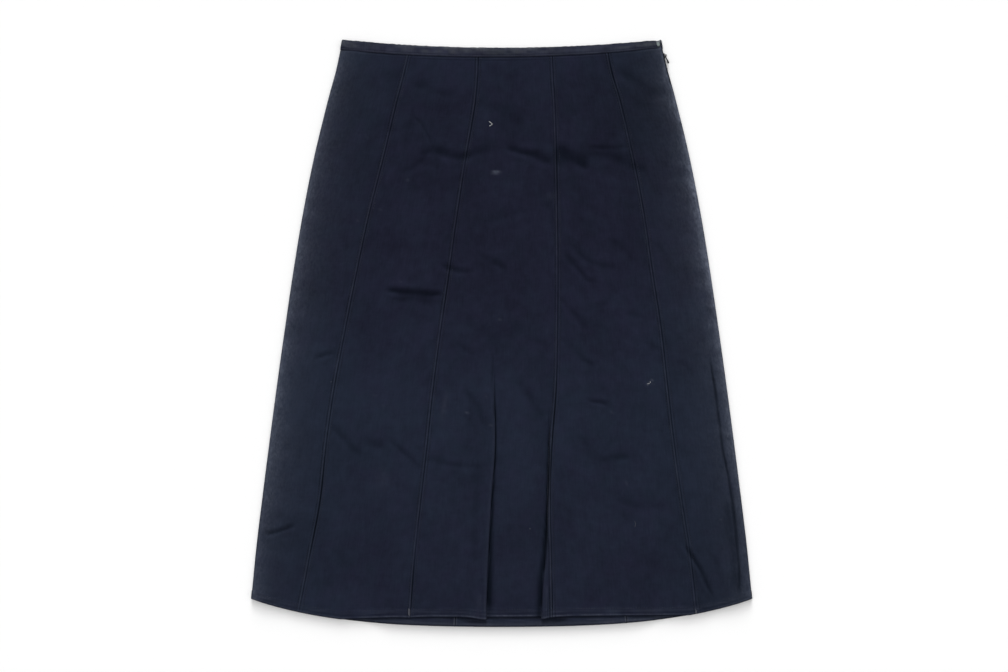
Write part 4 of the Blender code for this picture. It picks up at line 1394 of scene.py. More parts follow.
def fold_points(fold, low):
    """Points (out from the visible edge, height) of one fold, from its top layer to its lower one."""
    arc = PLEAT_RADIUS * fold.angle
    lower_turn = arc + fold.run
    total = fold.upper + lower_turn + arc + fold.lower
    stops = (0, fold.upper, fold.upper + arc, fold.upper + lower_turn, fold.upper + lower_turn + arc, total)
    bent = np.concatenate([[0], *(np.linspace(start, end, steps + 1)[1:]
                                  for start, end, steps in zip(stops[:-1], stops[1:], FOLD_STEPS))])
    even = np.linspace(0, total, len(bent))
    along = even + (bent - even) * min(fold.turn / PLEAT_GATHER, 1) - fold.upper
    start = -PLEAT_RADIUS * math.sin(min(fold.angle, math.pi / 2))
    turned = start + PLEAT_RADIUS * math.sin(fold.angle)
    turned_low = low + fold.rise - PLEAT_RADIUS * (1 - math.cos(fold.angle))
    below = turned + fold.run * math.cos(fold.angle)
    below_low = turned_low - fold.run * math.sin(fold.angle)
    places = []
    for length in along:
        if length <= 0:
            places.append((start + length, low + fold.rise))
        elif length < arc:
            bend = length / PLEAT_RADIUS
            places.append((start + PLEAT_RADIUS * math.sin(bend),
                           low + fold.rise - PLEAT_RADIUS * (1 - math.cos(bend))))
        elif length < lower_turn:
            share = (length - arc) / fold.run
            places.append((turned + (below - turned) * share,
                           turned_low + (below_low - turned_low) * share))
        elif length < lower_turn + arc:
            bend = fold.angle - (length - lower_turn) / PLEAT_RADIUS
            places.append((below + PLEAT_RADIUS * (math.sin(fold.angle) - math.sin(bend)),
                           below_low - PLEAT_RADIUS * (math.cos(bend) - math.cos(fold.angle))))
        else:
            places.append((below + PLEAT_RADIUS * math.sin(fold.angle) + length - lower_turn - arc, low))
    return np.array(places)


# %% Middle front gore
STRIP_STEPS = 24
APPROACH_STEPS = 30


def squeezed(edge, offsets, room, sign):
    """Columns beside a join, drawn together where there is little room beside it."""
    return edge + sign * np.array(offsets) * min(1, 0.94 * room / offsets[-1])


def middle_section(down):
    """One row of the middle gore: across, height, and 1 where the cloth lies on top."""
    low = float(front_low(down))
    first = float(seam_line("seam_2", down)) + JOIN_OUT + JOIN_GAP
    last = float(seam_line("seam_3", down)) + JOIN_OUT - JOIN_GAP
    left, right = map(float, pleat_lines(down))
    left_fold = fold_points(Fold(*map(float, fold_shape(down, LEFT_PLEAT_TOP))), low)
    right_fold = fold_points(Fold(*map(float, fold_shape(down, RIGHT_PLEAT_TOP))), low)
    left_x = left + left_fold[:, 0]
    right_x = (right - right_fold[:, 0])[::-1]
    near_first = squeezed(first, RIGHT_OF_JOIN, left_x[0] - first, 1)
    approach = np.linspace(near_first[-1], left_x[0], APPROACH_STEPS + 1)[1:-1]
    near_last = squeezed(last, LEFT_OF_JOIN, last - right_x[-1], -1)[::-1]
    strip = np.linspace(left_x[-1], right_x[0], STRIP_STEPS + 1)[1:-1]
    plain = np.concatenate([near_first, approach])
    x = np.concatenate([plain, left_x, strip, right_x, near_last])
    z = np.concatenate([front_height(plain, down), left_fold[:, 1], np.full(len(strip), low),
                        right_fold[::-1, 1], front_height(near_last, down)])
    over = LEAD_STEPS + ARC_STEPS // 2
    flap = np.ones(len(x))
    flap[len(plain) + over:len(x) - len(near_last) - over] = 0
    return x, z, flap


middle_x, middle_z, middle_flap = map(np.array, zip(*[middle_section(level) for level in rows]))
middle_down = np.broadcast_to(rows[:, None], middle_x.shape)
declare_front(3, *lay("front_gore_3_cloth", middle_x, middle_down, middle_z, flap=middle_flap))


# %% [markdown]
# ## Back gores
# The back shows only as a strip below the front hem, but it carries the whole skirt, so it is there
# in full. Its underside is flat on the table, and its hem is turned under like the front one. Its
# grid is coarse where it is hidden and fine at the hem.

# %% Back cloth
BACK_ROW_SPACING = 7
BACK_COLUMN_SPACING = 6
BACK_FINE_TOP = (0, 1, 3)
HEM_CURL = 2.8             # the back's hem curls up from the table where it shows below the front
BACK_JOIN = (0.02, 0.4, 0.8, 1.3, 1.9, 2.6, 3.6, 5.4)
BACK_INSETS = (0.004, 0.05, 0.2, 0.5, 0.9, 1.4, 2, 3, 5)
BACK_FINE_HEM = (22, 19, 16.5, 14.5, 13, 11.8, 10.8) + FINE_HEM[4:]
BACK_WALL = 1
back_rows = row_levels(BACK_ROW_SPACING, fine_top=BACK_FINE_TOP, fine_hem=BACK_FINE_HEM)


def back_seam(index, down):
    seam = BACK_SEAMS[index]
    return (seam.waist + (seam.hem - seam.waist) * down)[:, None]


def back_gore(number, left, right):
    name = f"back_gore_{number}"
    x = fill_columns(left, right, BACK_COLUMN_SPACING)
    down = np.broadcast_to(back_rows[:, None], x.shape)
    y = gore_place(x, down, back_hem_line, drop=BACK_WAIST_DROP)
    above = y - back_hem_line(x)
    uneven = 1 + 0.35 * ripple(x, 15, 71)
    wall = hem_wall(above, BACK_WALL)
    drawn = rumple(x, y, 18, 1.2, 73)
    wear = 0.03 * (1 - ease(above, 3, 7)) + 0.08 * bell(above - 1.6, 1.2) * uneven
    wear += 0.08 * np.maximum(drawn, 0) * (1 - ease(above, 6, 14))
    # painted shade in the hem's grooves, along its very edge and in the seams
    shade = 0.22 * bell(above - HEM_STITCHING, 0.9) + 0.22 * bell(above - 4, 0.9)
    shade += 0.30 * np.maximum(-drawn, 0) + 0.45 * bell(above, 0.6)
    # painted light: the back grows paler up to the front hem's edge, against the shadow that the front hem
    # casts there
    wear += 0.035 * ease(above, 7, 12)
    for index in range(len(BACK_SEAMS)):
        away = x - back_seam(index, back_rows)
        wall = wall + 0.30 * bell(away + 1, 0.8) - 0.30 * bell(away, 0.4)
        wear += 0.24 * bell(away + 1.2, 0.6) + 0.18 * bell(away - 1.2, 0.6)
        shade += 0.80 * bell(away, 0.7)
    wall = wall - 0.22 * bell(above - HEM_STITCHING, 0.6) + 0.06 * rumple(x, y, 6, 20, 72)
    showing = ease(front_hem_line(x) - back_hem_line(x), 3, 8)
    curl = HEM_CURL * showing * (1 - ease(above, 0.5, 9))
    middle = np.stack([x, y, back_height(x, down, wall) + curl], axis=-1)
    values = {"cloth": cloth_place(name, x, y, x.mean(axis=1, keepdims=True)),
              "wear": np.clip(wear, 0, 1), "shade": np.clip(shade, 0, 1),
              "tone": x * 0 + 0.15, "bluish": x * 0 + 0.4}
    piece = make_cloth(name + "_cloth", middle, wall, twills["back twill"], values)
    declare(piece, name)


joins = np.array(BACK_JOIN)[None, :]
back_fold_line = side_line(back_rows)[:, None]
back_radius = FOLD_MIDDLE - BACK_WALL / 2
back_seams = [back_seam(index, back_rows) for index in range(len(BACK_SEAMS))]
left_edges = [fold_insets(-1, back_rows, BACK_INSETS, back_radius) - back_fold_line,
              *(line + joins for line in back_seams)]
right_edges = [*(line - joins[:, ::-1] for line in back_seams),
               back_fold_line - fold_insets(1, back_rows, BACK_INSETS, back_radius)[:, ::-1]]
for gore_number, edges in enumerate(zip(left_edges, right_edges), start=1):
    back_gore(gore_number, *edges)

# %% [markdown]
# ## Waistband
# The waistband is a narrow strip folded double and stitched along its lower edge. It is the most
# handled part, so its top is rubbed pale in patches. At the zip the front band ends straight, and
# the back band behind it rises to a small point.

# %% Band cloth
BAND_COLUMN_SPACING = 1.1
BAND_SHARES = (0, 0.03, 0.08, 0.15, 0.24, 0.34, 0.45, 0.56, 0.66, 0.74, 0.80, 0.85, 0.90, 0.95, 1)
BAND_LIFT = 0.4
BAND_TOP = 4.4             # however the gores lie, the middle of the front band stays below this
BAND_STITCHING = 0.84      # the share of its height down to its row of stitches
BAND_END = 177.4           # the front band stops here at its top edge, short of the side fold
BAND_SLOPE = 1.6           # and this much further out at its lower edge
BAND_INSETS = (0.004, 0.08, 0.3, 0.7, 1.3, 2.1, 3.2)
FRONT_BAND_SEED = 82
BACK_BAND_SEED = 92


def band_profile(x, share, seed):
    """Relief, rubbed paleness and painted shade of a waistband: share goes from its top edge to its lower
    edge.
    """
    uneven = 1 + 0.4 * ripple(x, 13, seed)
    low = share * 9
    relief = -0.35 * bell(share, 0.10) - 0.20 * bell(share - 1, 0.06)
    relief += (0.14 * bell(share - 0.93, 0.05) - 0.24 * bell(share - BAND_STITCHING, 0.04)) * uneven
    relief += 0.14 * rumple(x, low, 6.5, 2.6, seed + 1) + 0.16 * rumple(x, low, 21, 9, seed + 2)
    rubbed = ease(x, -150, -60) * (1 - ease(x, 5, 95))
    patches = np.clip(0.6 + 0.9 * rumple(x, low, 8, 2.2, seed + 3), 0, 1.6)
    wear = (0.05 + 0.10 * rubbed + 0.16 * ease(-x, 160, 172)) * patches * (1 - ease(share, 0.50, 0.90))
    wear += 0.16 * ease(x, 110, 170) * patches * bell(share - 0.45, 0.26)
    wear += (0.04 + 0.10 * rubbed) * bell(share - 0.05, 0.09) * np.clip(patches, 0.4, 1.4)
    wear += 0.05 * bell(share - 0.95, 0.05) * uneven
    top_shadow = 0.45 * (1 - rubbed) * (1 - 0.7 * ease(-x, 135, 160))
    shade = 0.30 * bell(share - BAND_STITCHING, 0.04) * uneven + top_shadow * bell(share - 0.02, 0.10)
    return relief, np.clip(wear, 0, 1), np.clip(shade, 0, 1)


def band_level(x, share):
    return share * band_height(x) / OVERALL_LENGTH


def band_place(x, share):
    """Up the skirt and height of the middle of the front band, before its relief."""
    height = np.minimum(front_height(x, band_level(x, share)) + BAND_LIFT, BAND_TOP)
    return waist_line(x) - share * band_height(x), height


def band(node, x, share, y, height, seed, flat_under=False):
    """A waistband; the back one keeps a flat underside and shows its bright inside at the zip."""
    relief, wear, shade = band_profile(x, share, seed)
    wall = BAND_WALL - 0.5 * bell(share, 0.08) - 0.3 * bell(share - 1, 0.05) + x * 0
    if flat_under:
        height = height - BAND_WALL / 2 + (wall + relief) / 2
        wall = wall + relief
        inner = ease(x, BAND_END - 0.6, BAND_END + 1.2) * (1 - ease(x, 182.4, 183.6))
        shade = shade * (1 - inner)
        wear = np.clip(wear + 0.80 * inner * (0.8 + 0.5 * rumple(x, y, 1.6, 2.2, seed + 6)), 0, 1)
    else:
        height = height + relief
    middle = np.stack([x, y, height], axis=-1)
    name = node + "_cloth"
    values = {"cloth": cloth_place(name, x, y, 0), "wear": wear, "shade": shade,
              "tone": x * 0 + 0.2, "bluish": 0.35 + 0.25 * rumple(x, y, 40, 9, seed + 4)}
    piece = make_cloth(name, middle, wall, twills["waistband twill"], values)
    declare(piece, node)


def band_columns(insets, right_columns=None):
    """Columns of a band, from one side fold to the other or to the columns given."""
    fold_line = side_line(band_shares[:, 0] * BAND_MIDDLE / OVERALL_LENGTH)[:, None]
    insets = np.array(insets)[None, :]
    if right_columns is not None:
        return fill_columns(insets - fold_line, right_columns, BAND_COLUMN_SPACING)
    return fill_columns(insets - fold_line, fold_line - insets[:, ::-1], 2 * BAND_COLUMN_SPACING)


def front_band():
    x = band_columns(BAND_INSETS, BAND_END + BAND_SLOPE * band_shares ** 1.3
                     + np.array([[-2.4, -1.2, -0.5, 0]]))
    share = np.broadcast_to(band_shares, x.shape)
    y, height = band_place(x, share)
    y = y + 0.22 * ripple(x, 3.1, 81) * (1 - share) ** 4 - 0.9 * ease(x, 168, 178) * (1 - share) ** 2
    band("waistband_front", x, share, y, height, FRONT_BAND_SEED)


def back_band():
    x = band_columns(BAND_INSETS + (5,))
    share = np.broadcast_to(band_shares, x.shape)
    point = (0.9 * ease(x, 175.2, 177.8) + 0.8 * ease(x, 179.8, 182.9)) * (1 - share) ** 2
    y = waist_line(x) - BACK_WAIST_DROP - share * band_height(x) + point
    height = back_height(x, band_level(x, share), BAND_WALL)
    band("waistband_back", x, share, y, height, BACK_BAND_SEED, flat_under=True)


band_shares = np.array(BAND_SHARES)[:, None]
front_band()
back_band()

# %% [markdown]
# ## Stitching
# Each stitch is a small rounded bar of thread, pulled a little way into the cloth. Hundreds of them
# in one mesh per row follow the relief, so they catch the light as real topstitching does, which a
# painted dotted line would not. Rows run beside every front seam, along the hem and along the band.

# %% Thread material
Thread = namedtuple("Thread", "colour pale")
THREADS = {"navy thread": Thread((0.0085, 0.0100, 0.0190), (0.034, 0.038, 0.054)),
           "grey thread": Thread((0.060, 0.064, 0.078), (0.15, 0.15, 0.17)),
           "pale thread": Thread((0.62, 0.63, 0.63), (0.78, 0.78, 0.76))}


def make_thread(name, thread):
    material, tree, shader = new_material(name)
    place = add_node(tree, "ShaderNodeTexCoord").outputs["Object"]
    worn = place_group(tree, dye_group, Cloth=place, Patch_Width=0.011, Patch_Length=0.011,
                       Amount=0.9)["Lightness"]
    worn = plus(worn, 0.25, clamp=True)
    link(mix_colours(worn, thread.colour, thread.pale), shader.inputs["Base Color"])
    ply = place_group(tree, twill_group, Cloth=place, Rib_Spacing=0.0004)["Height"]
    link(plus(0.62, times(ply, 0.15)), shader.inputs["Roughness"])
    shader.inputs["Specular IOR Level"].default_value = 0.15
    add_bump(shader, ply, 0.5, 0.0001)
    return material


threads = {name: make_thread(name, thread) for name, thread in THREADS.items()}

# %% Rows of stitches
STITCH_PITCH = 3
STITCH_LENGTH = 2.1
STITCH_RADIUS = 0.24
STITCH_SIDES = 6
STITCH_SINK = 0.25         # the ends of a stitch are pulled in
STITCH_SCATTER = 0.05
STITCH_RINGS = ((-0.5, 0.35), (-0.32, 0.95), (0.32, 0.95), (0.5, 0.35))   # along, and share of the radius


def bar_faces(rings, sides, first=0):
    """Faces of a closed bar of rings of points; first is the number of its first point."""
    faces = [(first + ring * sides + number, first + ring * sides + (number + 1) % sides,
              first + (ring + 1) * sides + (number + 1) % sides, first + (ring + 1) * sides + number)
             for ring in range(rings - 1) for number in range(sides)]
    last = first + (rings - 1) * sides
    return faces + [tuple(reversed(range(first, first + sides))), tuple(range(last, last + sides))]


def walk(points, pitch):
    """Places a pitch apart along a line of points, and the direction of the line there."""
    steps = np.linalg.norm(np.diff(points, axis=0), axis=1)
    along = np.concatenate([[0], np.cumsum(steps)])
    at = np.arange(pitch / 2, along[-1] - pitch / 2, pitch)

    def read(distance):
        return np.stack([np.interp(distance, along, points[:, axis]) for axis in range(3)], axis=-1)

    return read(at), unit(read(at + 0.6) - read(at - 0.6))


def stitch_row(name, points, seed):
    """A row of stitches along a line, as one mesh; gives their number."""
    places, directions = walk(points, STITCH_PITCH)
    chance = np.random.default_rng(seed)
    lean = chance.normal(0, STITCH_SCATTER, len(places))
    spread = chance.normal(0, STITCH_SCATTER, len(places))
    along = unit(directions + np.stack([-directions[:, 1] * lean, directions[:, 0] * lean, lean * 0],
                                       axis=-1))
    across = unit(np.cross(along, [0, 0, 1]))
    places = places + across * spread[:, None]
    turns = np.arange(STITCH_SIDES) * 2 * math.pi / STITCH_SIDES
    distance, radius = np.array(STITCH_RINGS).T[:, :, None]
    steps = (STITCH_LENGTH * distance + turns * 0, STITCH_RADIUS * radius * np.cos(turns),
             STITCH_RADIUS * radius * np.sin(turns) - STITCH_SINK * abs(distance))
    corners = places[:, None, None] + sum(direction[:, None, None] * step[..., None] for direction, step
                                          in zip((along, across, np.cross(across, along)), steps))
    rings = len(STITCH_RINGS)
    faces = [face for number in range(len(places))
             for face in bar_faces(rings, STITCH_SIDES, number * rings * STITCH_SIDES)]
    settle(mesh_object(name, corners, faces, threads["navy thread"]))
    return len(places)


def on_front(x, down, level=None):
    """Points on the upper face of the front cloth."""
    surface = front_surface(x, down, front_height(x, down) if level is None else level)
    points = surface.middle.copy()
    points[..., 2] += surface.wall / 2
    return points


def seam_stitches(index, name, line_number, out):
    points = on_front((seam_line(name, rows) + out)[:, None], rows[:, None])[:, 0]
    points = points[below_band(points[:, 0], points[:, 1]) > 0.5]
    return stitch_row(f"stitches_{name}_{line_number + 1}", points, 100 + 10 * index + line_number)


THREAD_LINES = (-2.1, 4.6)     # rows of stitches, out from a seam's ridge
print("stitches beside the seams:", sum(
    seam_stitches(index, name, line_number, out)
    for index, name in enumerate(SEAM_NAMES) for line_number, out in enumerate(THREAD_LINES)))

# %% Stitches along the hem and the band
left_at_hem, right_at_hem = map(float, pleat_lines(1))
hem_down = 1 - HEM_STITCHING / OVERALL_LENGTH
side_at_hem = float(side_line(hem_down)) - 2
hem_parts = (("left", -side_at_hem, left_at_hem - 0.9, False),
             ("middle", left_at_hem + 1.6, right_at_hem - 1.6, True),
             ("right", right_at_hem + 0.9, side_at_hem, False))


def hem_stitches(number, name, start, end, recessed):
    x = np.arange(start, end, 1)[:, None]
    down = x * 0 + hem_down
    points = on_front(x, down, front_low(down) if recessed else None)[:, 0]
    return stitch_row(f"stitches_hem_{name}", points, 150 + number)


for number, hem_part in enumerate(hem_parts):
    print("hem stitches,", hem_part[0], hem_stitches(number, *hem_part))


def band_stitches():
    x = np.arange(-WAIST_HALF + 4, BAND_END - 1, 1)
    share = x * 0 + BAND_STITCHING
    y, height = band_place(x, share)
    height = height + band_profile(x, share, FRONT_BAND_SEED)[0] + BAND_WALL / 2
    return stitch_row("stitches_band", np.stack([x, y, height], axis=-1), 160)


print("band stitches:", band_stitches())

# %% Loose threads
LOOSE_THREADS = table(          # short ends of thread lying on the cloth: across, up the skirt
    "radius material points",
    (0.4, "grey thread", ((-106.6, -316.5), (-106.9, -320.5), (-106.6, -324))),
    (0.26, "grey thread", ((-105.8, -317.5), (-105.6, -321.5), (-105.9, -325.2))),
    (0.24, "grey thread", ((222.6, -317.4), (223.2, -319.6), (222.9, -321.6))),
    (0.2, "grey thread", ((224.6, -318.2), (223.6, -320), (224, -321.4))),
    (0.23, "pale thread", ((-14.4, 243.4), (-12.6, 242.2), (-10.8, 240.6))),
    (0.23, "pale thread", ((-10.8, 240.4), (-12.4, 239), (-14.2, 238.2))),
    (0.16, "grey thread", ((57.4, -322.4), (58.4, -323.4), (57.9, -325))),
    (0.12, "pale thread", ((171.6, -55.6), (170, -57.4), (167.4, -58.4))),
    (0.16, "grey thread", ((153, -216), (153.9, -219), (153.2, -222.6))),
)


def lay_thread(number, thread):
    """A round thread that follows the relief of the front."""
    line = smooth_line(thread.points, 6)
    x, y = line[:, 0], line[:, 1]
    top = waist_line(x) - band_height(x) + TUCK
    down = DOWN_START + (1 - DOWN_START) * (top - y) / (top - front_hem_line(x))
    points = on_front(x[:, None], down[:, None])[:, 0]
    curve = bpy.data.curves.new(f"loose_thread_{number}", "CURVE")
    curve.dimensions = "3D"
    curve.bevel_depth = thread.radius * MM
    curve.bevel_resolution = 2
    curve.use_fill_caps = True
    spline = curve.splines.new("POLY")
    spline.points.add(len(points) - 1)
    for place, (across, _, height), up in zip(spline.points, points, y):
        place.co = (across * MM, up * MM, (height + 0.6 * thread.radius) * MM, 1)
    curve.materials.append(threads[thread.material])
    settle(add_object(f"loose_thread_{number}", curve))


for number, thread in enumerate(LOOSE_THREADS, start=1):
    lay_thread(number, thread)
print("loose threads:", len(LOOSE_THREADS))

# %% [markdown]
# ## Side zip: tape and coil
# A skirt zip is a nylon coil sewn along a woven tape. This one sits on edge inside the right-hand
# side fold, behind an opening that closes again further down. The tape is a narrow sheet of its own,
# with a thick selvedge. The coil is a thread wound round a line, so it is made as a bar that follows
# a flattened helix. A row of boxes would look right from far away only.

# %% Bars along a line
def bar(points, sizes, sides=10, up=(0, 0, 1), squareness=1):
    """A closed bar; sizes are its half width and half height at each point."""
    points = np.asarray(points, float)
    sizes = np.broadcast_to(np.asarray(sizes, float), (len(points), 2))
    ahead = unit(np.gradient(points, axis=0))
    across = unit(np.cross(ahead, up))
    lift = np.cross(across, ahead)
    turns = (np.arange(sides) + 0.5) * 2 * math.pi / sides
    wide = np.sign(np.cos(turns)) * abs(np.cos(turns)) ** squareness
    high = np.sign(np.sin(turns)) * abs(np.sin(turns)) ** squareness
    rings = (points[:, None] + across[:, None] * (sizes[:, :1] * wide)[..., None]
             + lift[:, None] * (sizes[:, 1:] * high)[..., None])
    return rings.reshape(-1, 3), bar_faces(len(points), sides)


def join_bars(bars):
    """Corners and faces of several bars as one mesh."""
    corners, faces = [], []
    for some_corners, some_faces in bars:
        faces.extend(tuple(len(corners) + number for number in face) for face in some_faces)
        corners.extend(some_corners.tolist())
    return corners, faces


def side_fold_place(drop):
    """Across and up the skirt, for points of the right-hand side fold below the waist edge."""
    height = waist_line(WAIST_HALF) - back_hem_line(HEM_HALF)
    return side_line(drop / height), waist_line(WAIST_HALF) - drop


# %% Zip materials
def make_tape():
    material, tree, shader = new_material("zip tape")
    place = add_node(tree, "ShaderNodeTexCoord").outputs["Object"]
    weave = place_group(tree, twill_group, Cloth=place, Rib_Spacing=0.0005, Unevenness=0.5)["Height"]
    dust = place_group(tree, dye_group, Cloth=place, Patch_Width=0.002, Patch_Length=0.005,
                       Amount=0.5)["Lightness"]
    light = plus(dust, times(weave, 0.3))
    worn = place_group(tree, wear_and_light_group, Deep_Colour=(0.012, 0.014, 0.025),
                       Bluish_Colour=(0.014, 0.018, 0.030), Worn_Colour=(0.10, 0.10, 0.12), Tone=light,
                       Wear=0.04, Fibre=dust)
    link(worn["Colour"], shader.inputs["Base Color"])
    link(minus(0.8, times(weave, 0.2)), shader.inputs["Roughness"])
    shader.inputs["Specular IOR Level"].default_value = 0.2
    add_bump(shader, weave, 0.6, 0.0001)
    return material


tape_material = make_tape()

# %% Tape and coil
ZIP_START = 22.2           # both lie this far below the waist edge at their upper end
ZIP_END = 190.2
TAPE_INSETS = (2.6, 3, 3.6, 4.4, 5.4, 6.6, 7.8, 8.6, 9.1, 9.5)
TAPE_MIDDLE = 2.2
TAPE_WALL = 0.6
COIL_INSET = 3.3
COIL_PITCH = 1.3
COIL_STEPS = 10
COIL_HALF_WIDTH = 0.95
COIL_HALF_HEIGHT = 0.5
COIL_WIRE = 0.2

drops = np.arange(ZIP_START, ZIP_END + 0.1, 2.4)[:, None]
fold_x, fold_y = side_fold_place(drops)
tape_insets = np.array(TAPE_INSETS)[None, ::-1]
tape_x = fold_x - tape_insets
tape_y = fold_y + tape_insets * 0
tape_z = TAPE_MIDDLE + 0.06 * rumple(tape_x, tape_y, 5, 9, 201)
tape_walls = TAPE_WALL + 0.25 * bell(tape_insets - 9.2, 0.5) + tape_x * 0
tape_points = np.stack([tape_x, tape_y, tape_z], axis=-1)
tape = make_cloth("zip_tape_cloth", tape_points, tape_walls, tape_material,
                  {"cloth": cloth_place("zip_tape_cloth", tape_x, tape_y, 0)})
settle(tape, "zip")

turns = np.arange(round((ZIP_END - ZIP_START - 2) / COIL_PITCH * COIL_STEPS)) / COIL_STEPS
coil_x, coil_y = side_fold_place(ZIP_START + 1 + turns * COIL_PITCH)
coil_angle = 2 * math.pi * turns
coil_line = np.stack([coil_x - COIL_INSET + COIL_HALF_WIDTH * np.cos(coil_angle), coil_y,
                      TAPE_MIDDLE + COIL_HALF_HEIGHT * np.sin(coil_angle)], axis=-1)
coil = mesh_object("zip_coil", *bar(coil_line, (COIL_WIRE, COIL_WIRE), sides=5, up=(0, 1, 0)),
                   tape_material)
settle(coil)
print("turns of the coil:", round(float(turns[-1])), "-", triangles(coil), "triangles")

# %% [markdown]
# ## Slider and pull
# Both are small zinc castings with black enamel, rubbed bare where fingers and the cloth touch them.
# A casting has no sharp edges, so each is put together from a few bars, re-meshed into one skin, and
# smoothed a little. Building the exact fillets by hand would take far longer and look the same. The
# slider's two plates hold the coil between them; its loop carries the pull, which turns in it.

# %% Group: rubbed enamel
def make_rub_group():
    """Mask and colour of a coat that has worn off the outer edges and a few random spots."""
    tree, given, result = make_group(
        "rubbed enamel",
        {"Place": VECTOR, "Edge": 0.0, "Amount": 0.5, "Coat Colour": COLOUR, "Bare Colour": COLOUR,
         "Spot Size": 0.0008},
        {"Colour": COLOUR, "Bare": FLOAT, "Grain": FLOAT})
    grain = add_node(tree, "ShaderNodeTexNoise", noise_dimensions="3D")
    grain.inputs["Scale"].default_value = 1
    grain.inputs["Detail"].default_value = 3
    spot = given["Spot Size"]
    link(stretched(given["Place"], spot, spot), grain.inputs["Vector"])
    spots = times(minus(grain.outputs[0], 0.52), 5)
    edge = times(given["Edge"], times(given["Amount"], 2))
    bare = plus(times(spots, given["Amount"]), edge, clamp=True)
    link(mix_colours(bare, given["Coat Colour"], given["Bare Colour"]), result["Colour"])
    link(bare, result["Bare"])
    link(grain.outputs[0], result["Grain"])
    return tree


rub_group = make_rub_group()

# %% Metals
Metal = namedtuple("Metal", "coat bare amount coated_metallic coat_roughness bare_roughness")
METALS = {"black enamel": Metal((0.010, 0.010, 0.012), (0.08, 0.08, 0.078), 0.20, 0, 0.42, 0.50),
          "dull plate": Metal((0.120, 0.140, 0.142), (0.060, 0.068, 0.066), 0.45, 1, 0.48, 0.62)}


def make_metal(name, metal):
    material, tree, shader = new_material(name)
    shader.inputs["Specular IOR Level"].default_value = 0.2
    place = add_node(tree, "ShaderNodeTexCoord").outputs["Object"]
    rub = place_group(tree, rub_group, Place=place, Edge=read_value(tree, "edge")["Fac"],
                      Amount=metal.amount, Coat_Colour=metal.coat, Bare_Colour=metal.bare)
    link(rub["Colour"], shader.inputs["Base Color"])
    shift = metal.bare_roughness - metal.coat_roughness
    rough = plus(metal.coat_roughness, times(rub["Bare"], shift))
    link(plus(rough, times(rub["Grain"], 0.1)), shader.inputs["Roughness"])
    metallic = plus(metal.coated_metallic, rub["Bare"], clamp=True)
    link(metallic, shader.inputs["Metallic"])
    add_bump(shader, minus(rub["Grain"], rub["Bare"]), 0.3, 0.00008)
    return material


metals = {name: make_metal(name, metal) for name, metal in METALS.items()}


# %% Castings
VOXEL = 0.12


def sharpness(mesh):
    """How far each point stands out from its neighbours, from 0 to 1: there the coat rubs off."""
    points = np.array([corner.co[:] for corner in mesh.vertices])
    normals = np.array([corner.normal[:] for corner in mesh.vertices])
    ends = np.array([wire.vertices[:] for wire in mesh.edges])
    gathered = np.zeros_like(points)
    counts = np.zeros(len(points))
    for first, second in ((0, 1), (1, 0)):
        np.add.at(gathered, ends[:, first], points[ends[:, second]])
        np.add.at(counts, ends[:, first], 1)
    bulge = ((points - gathered / counts[:, None]) * normals).sum(axis=1)
    return np.clip(bulge / np.percentile(bulge, 97), 0, 1) ** 1.5


def cast(name, bars, place, material, softening=3):
    """Join bars, given in millimetres, into one smooth skin, and put it in its place."""
    corners, faces = join_bars(bars)
    draft_mesh = bpy.data.meshes.new(name + " draft")
    draft_mesh.from_pydata(corners, [], faces)
    draft = add_object(name + " draft", draft_mesh)
    skin = draft.modifiers.new("one skin", "REMESH")
    skin.mode = "VOXEL"
    skin.voxel_size = VOXEL
    soft = draft.modifiers.new("softened", "SMOOTH")
    soft.iterations = softening
    mesh = bpy.data.meshes.new_from_object(draft.evaluated_get(bpy.context.evaluated_depsgraph_get()))
    bpy.data.objects.remove(draft)
    bpy.data.meshes.remove(draft_mesh)
    mesh.transform(Matrix.Scale(MM, 4))
    mesh.transform(place)
    mesh.name = name
    edge = mesh.attributes.new("edge", "FLOAT", "POINT")
    edge.data.foreach_set("value", sharpness(mesh).astype(np.float32))
    mesh.polygons.foreach_set("use_smooth", [True] * len(mesh.polygons))
    mesh.materials.clear()
    mesh.materials.append(material)
    piece = add_object(name, mesh)
    print(name, "has", triangles(piece), "triangles")
    return piece


# %% Zip slider
SLIDER_DROP = 17.8         # the slider's middle, below the waist edge
SLIDER_SPAN = 6.4
slider_x, slider_y = (float(value) for value in side_fold_place(SLIDER_DROP))
below_x, below_y = (float(value) for value in side_fold_place(SLIDER_DROP + SLIDER_SPAN))
slider_lean = math.atan2(below_x - slider_x, slider_y - below_y)
slider_place = (Matrix.Translation((slider_x * MM, slider_y * MM, FOLD_MIDDLE * MM))
                @ Matrix.Rotation(slider_lean, 4, "Z"))
outer_plate = bar([(0.45, y, 0) for y in (-3.1, -2.6, -1.4, 0, 1.4, 2.6, 3.1)],
                  [(0.30, 0.9), (0.36, 1.25), (0.36, 1.45), (0.36, 1.5), (0.36, 1.7), (0.36, 1.6),
                   (0.30, 1.1)], sides=16, squareness=0.6)
inner_plate = bar([(-3, y, 0) for y in (-3, -2.4, 0, 2.4, 3)],
                  [(0.30, 0.7), (0.34, 0.9), (0.34, 0.95), (0.34, 1), (0.30, 0.8)],
                  sides=16, squareness=0.6)
neck = bar([(-3, 1.9, 0), (-1.4, 1.9, 0), (0.45, 1.9, 0)], (0.75, 0.6), squareness=0.7)
loop_points = smooth_line(((0.5, 1.6, 0), (1.7, 1.5, 0), (2.55, 1, 0), (2.8, 0, 0),
                           (2.55, -1, 0), (1.7, -1.5, 0), (0.5, -1.6, 0)), 4)
loop = bar(loop_points, (0.34, 0.48))
slider = cast("zip_slider_casting", [outer_plate, inner_plate, neck, loop], slider_place,
              metals["black enamel"])
settle(slider, "zip_slider")

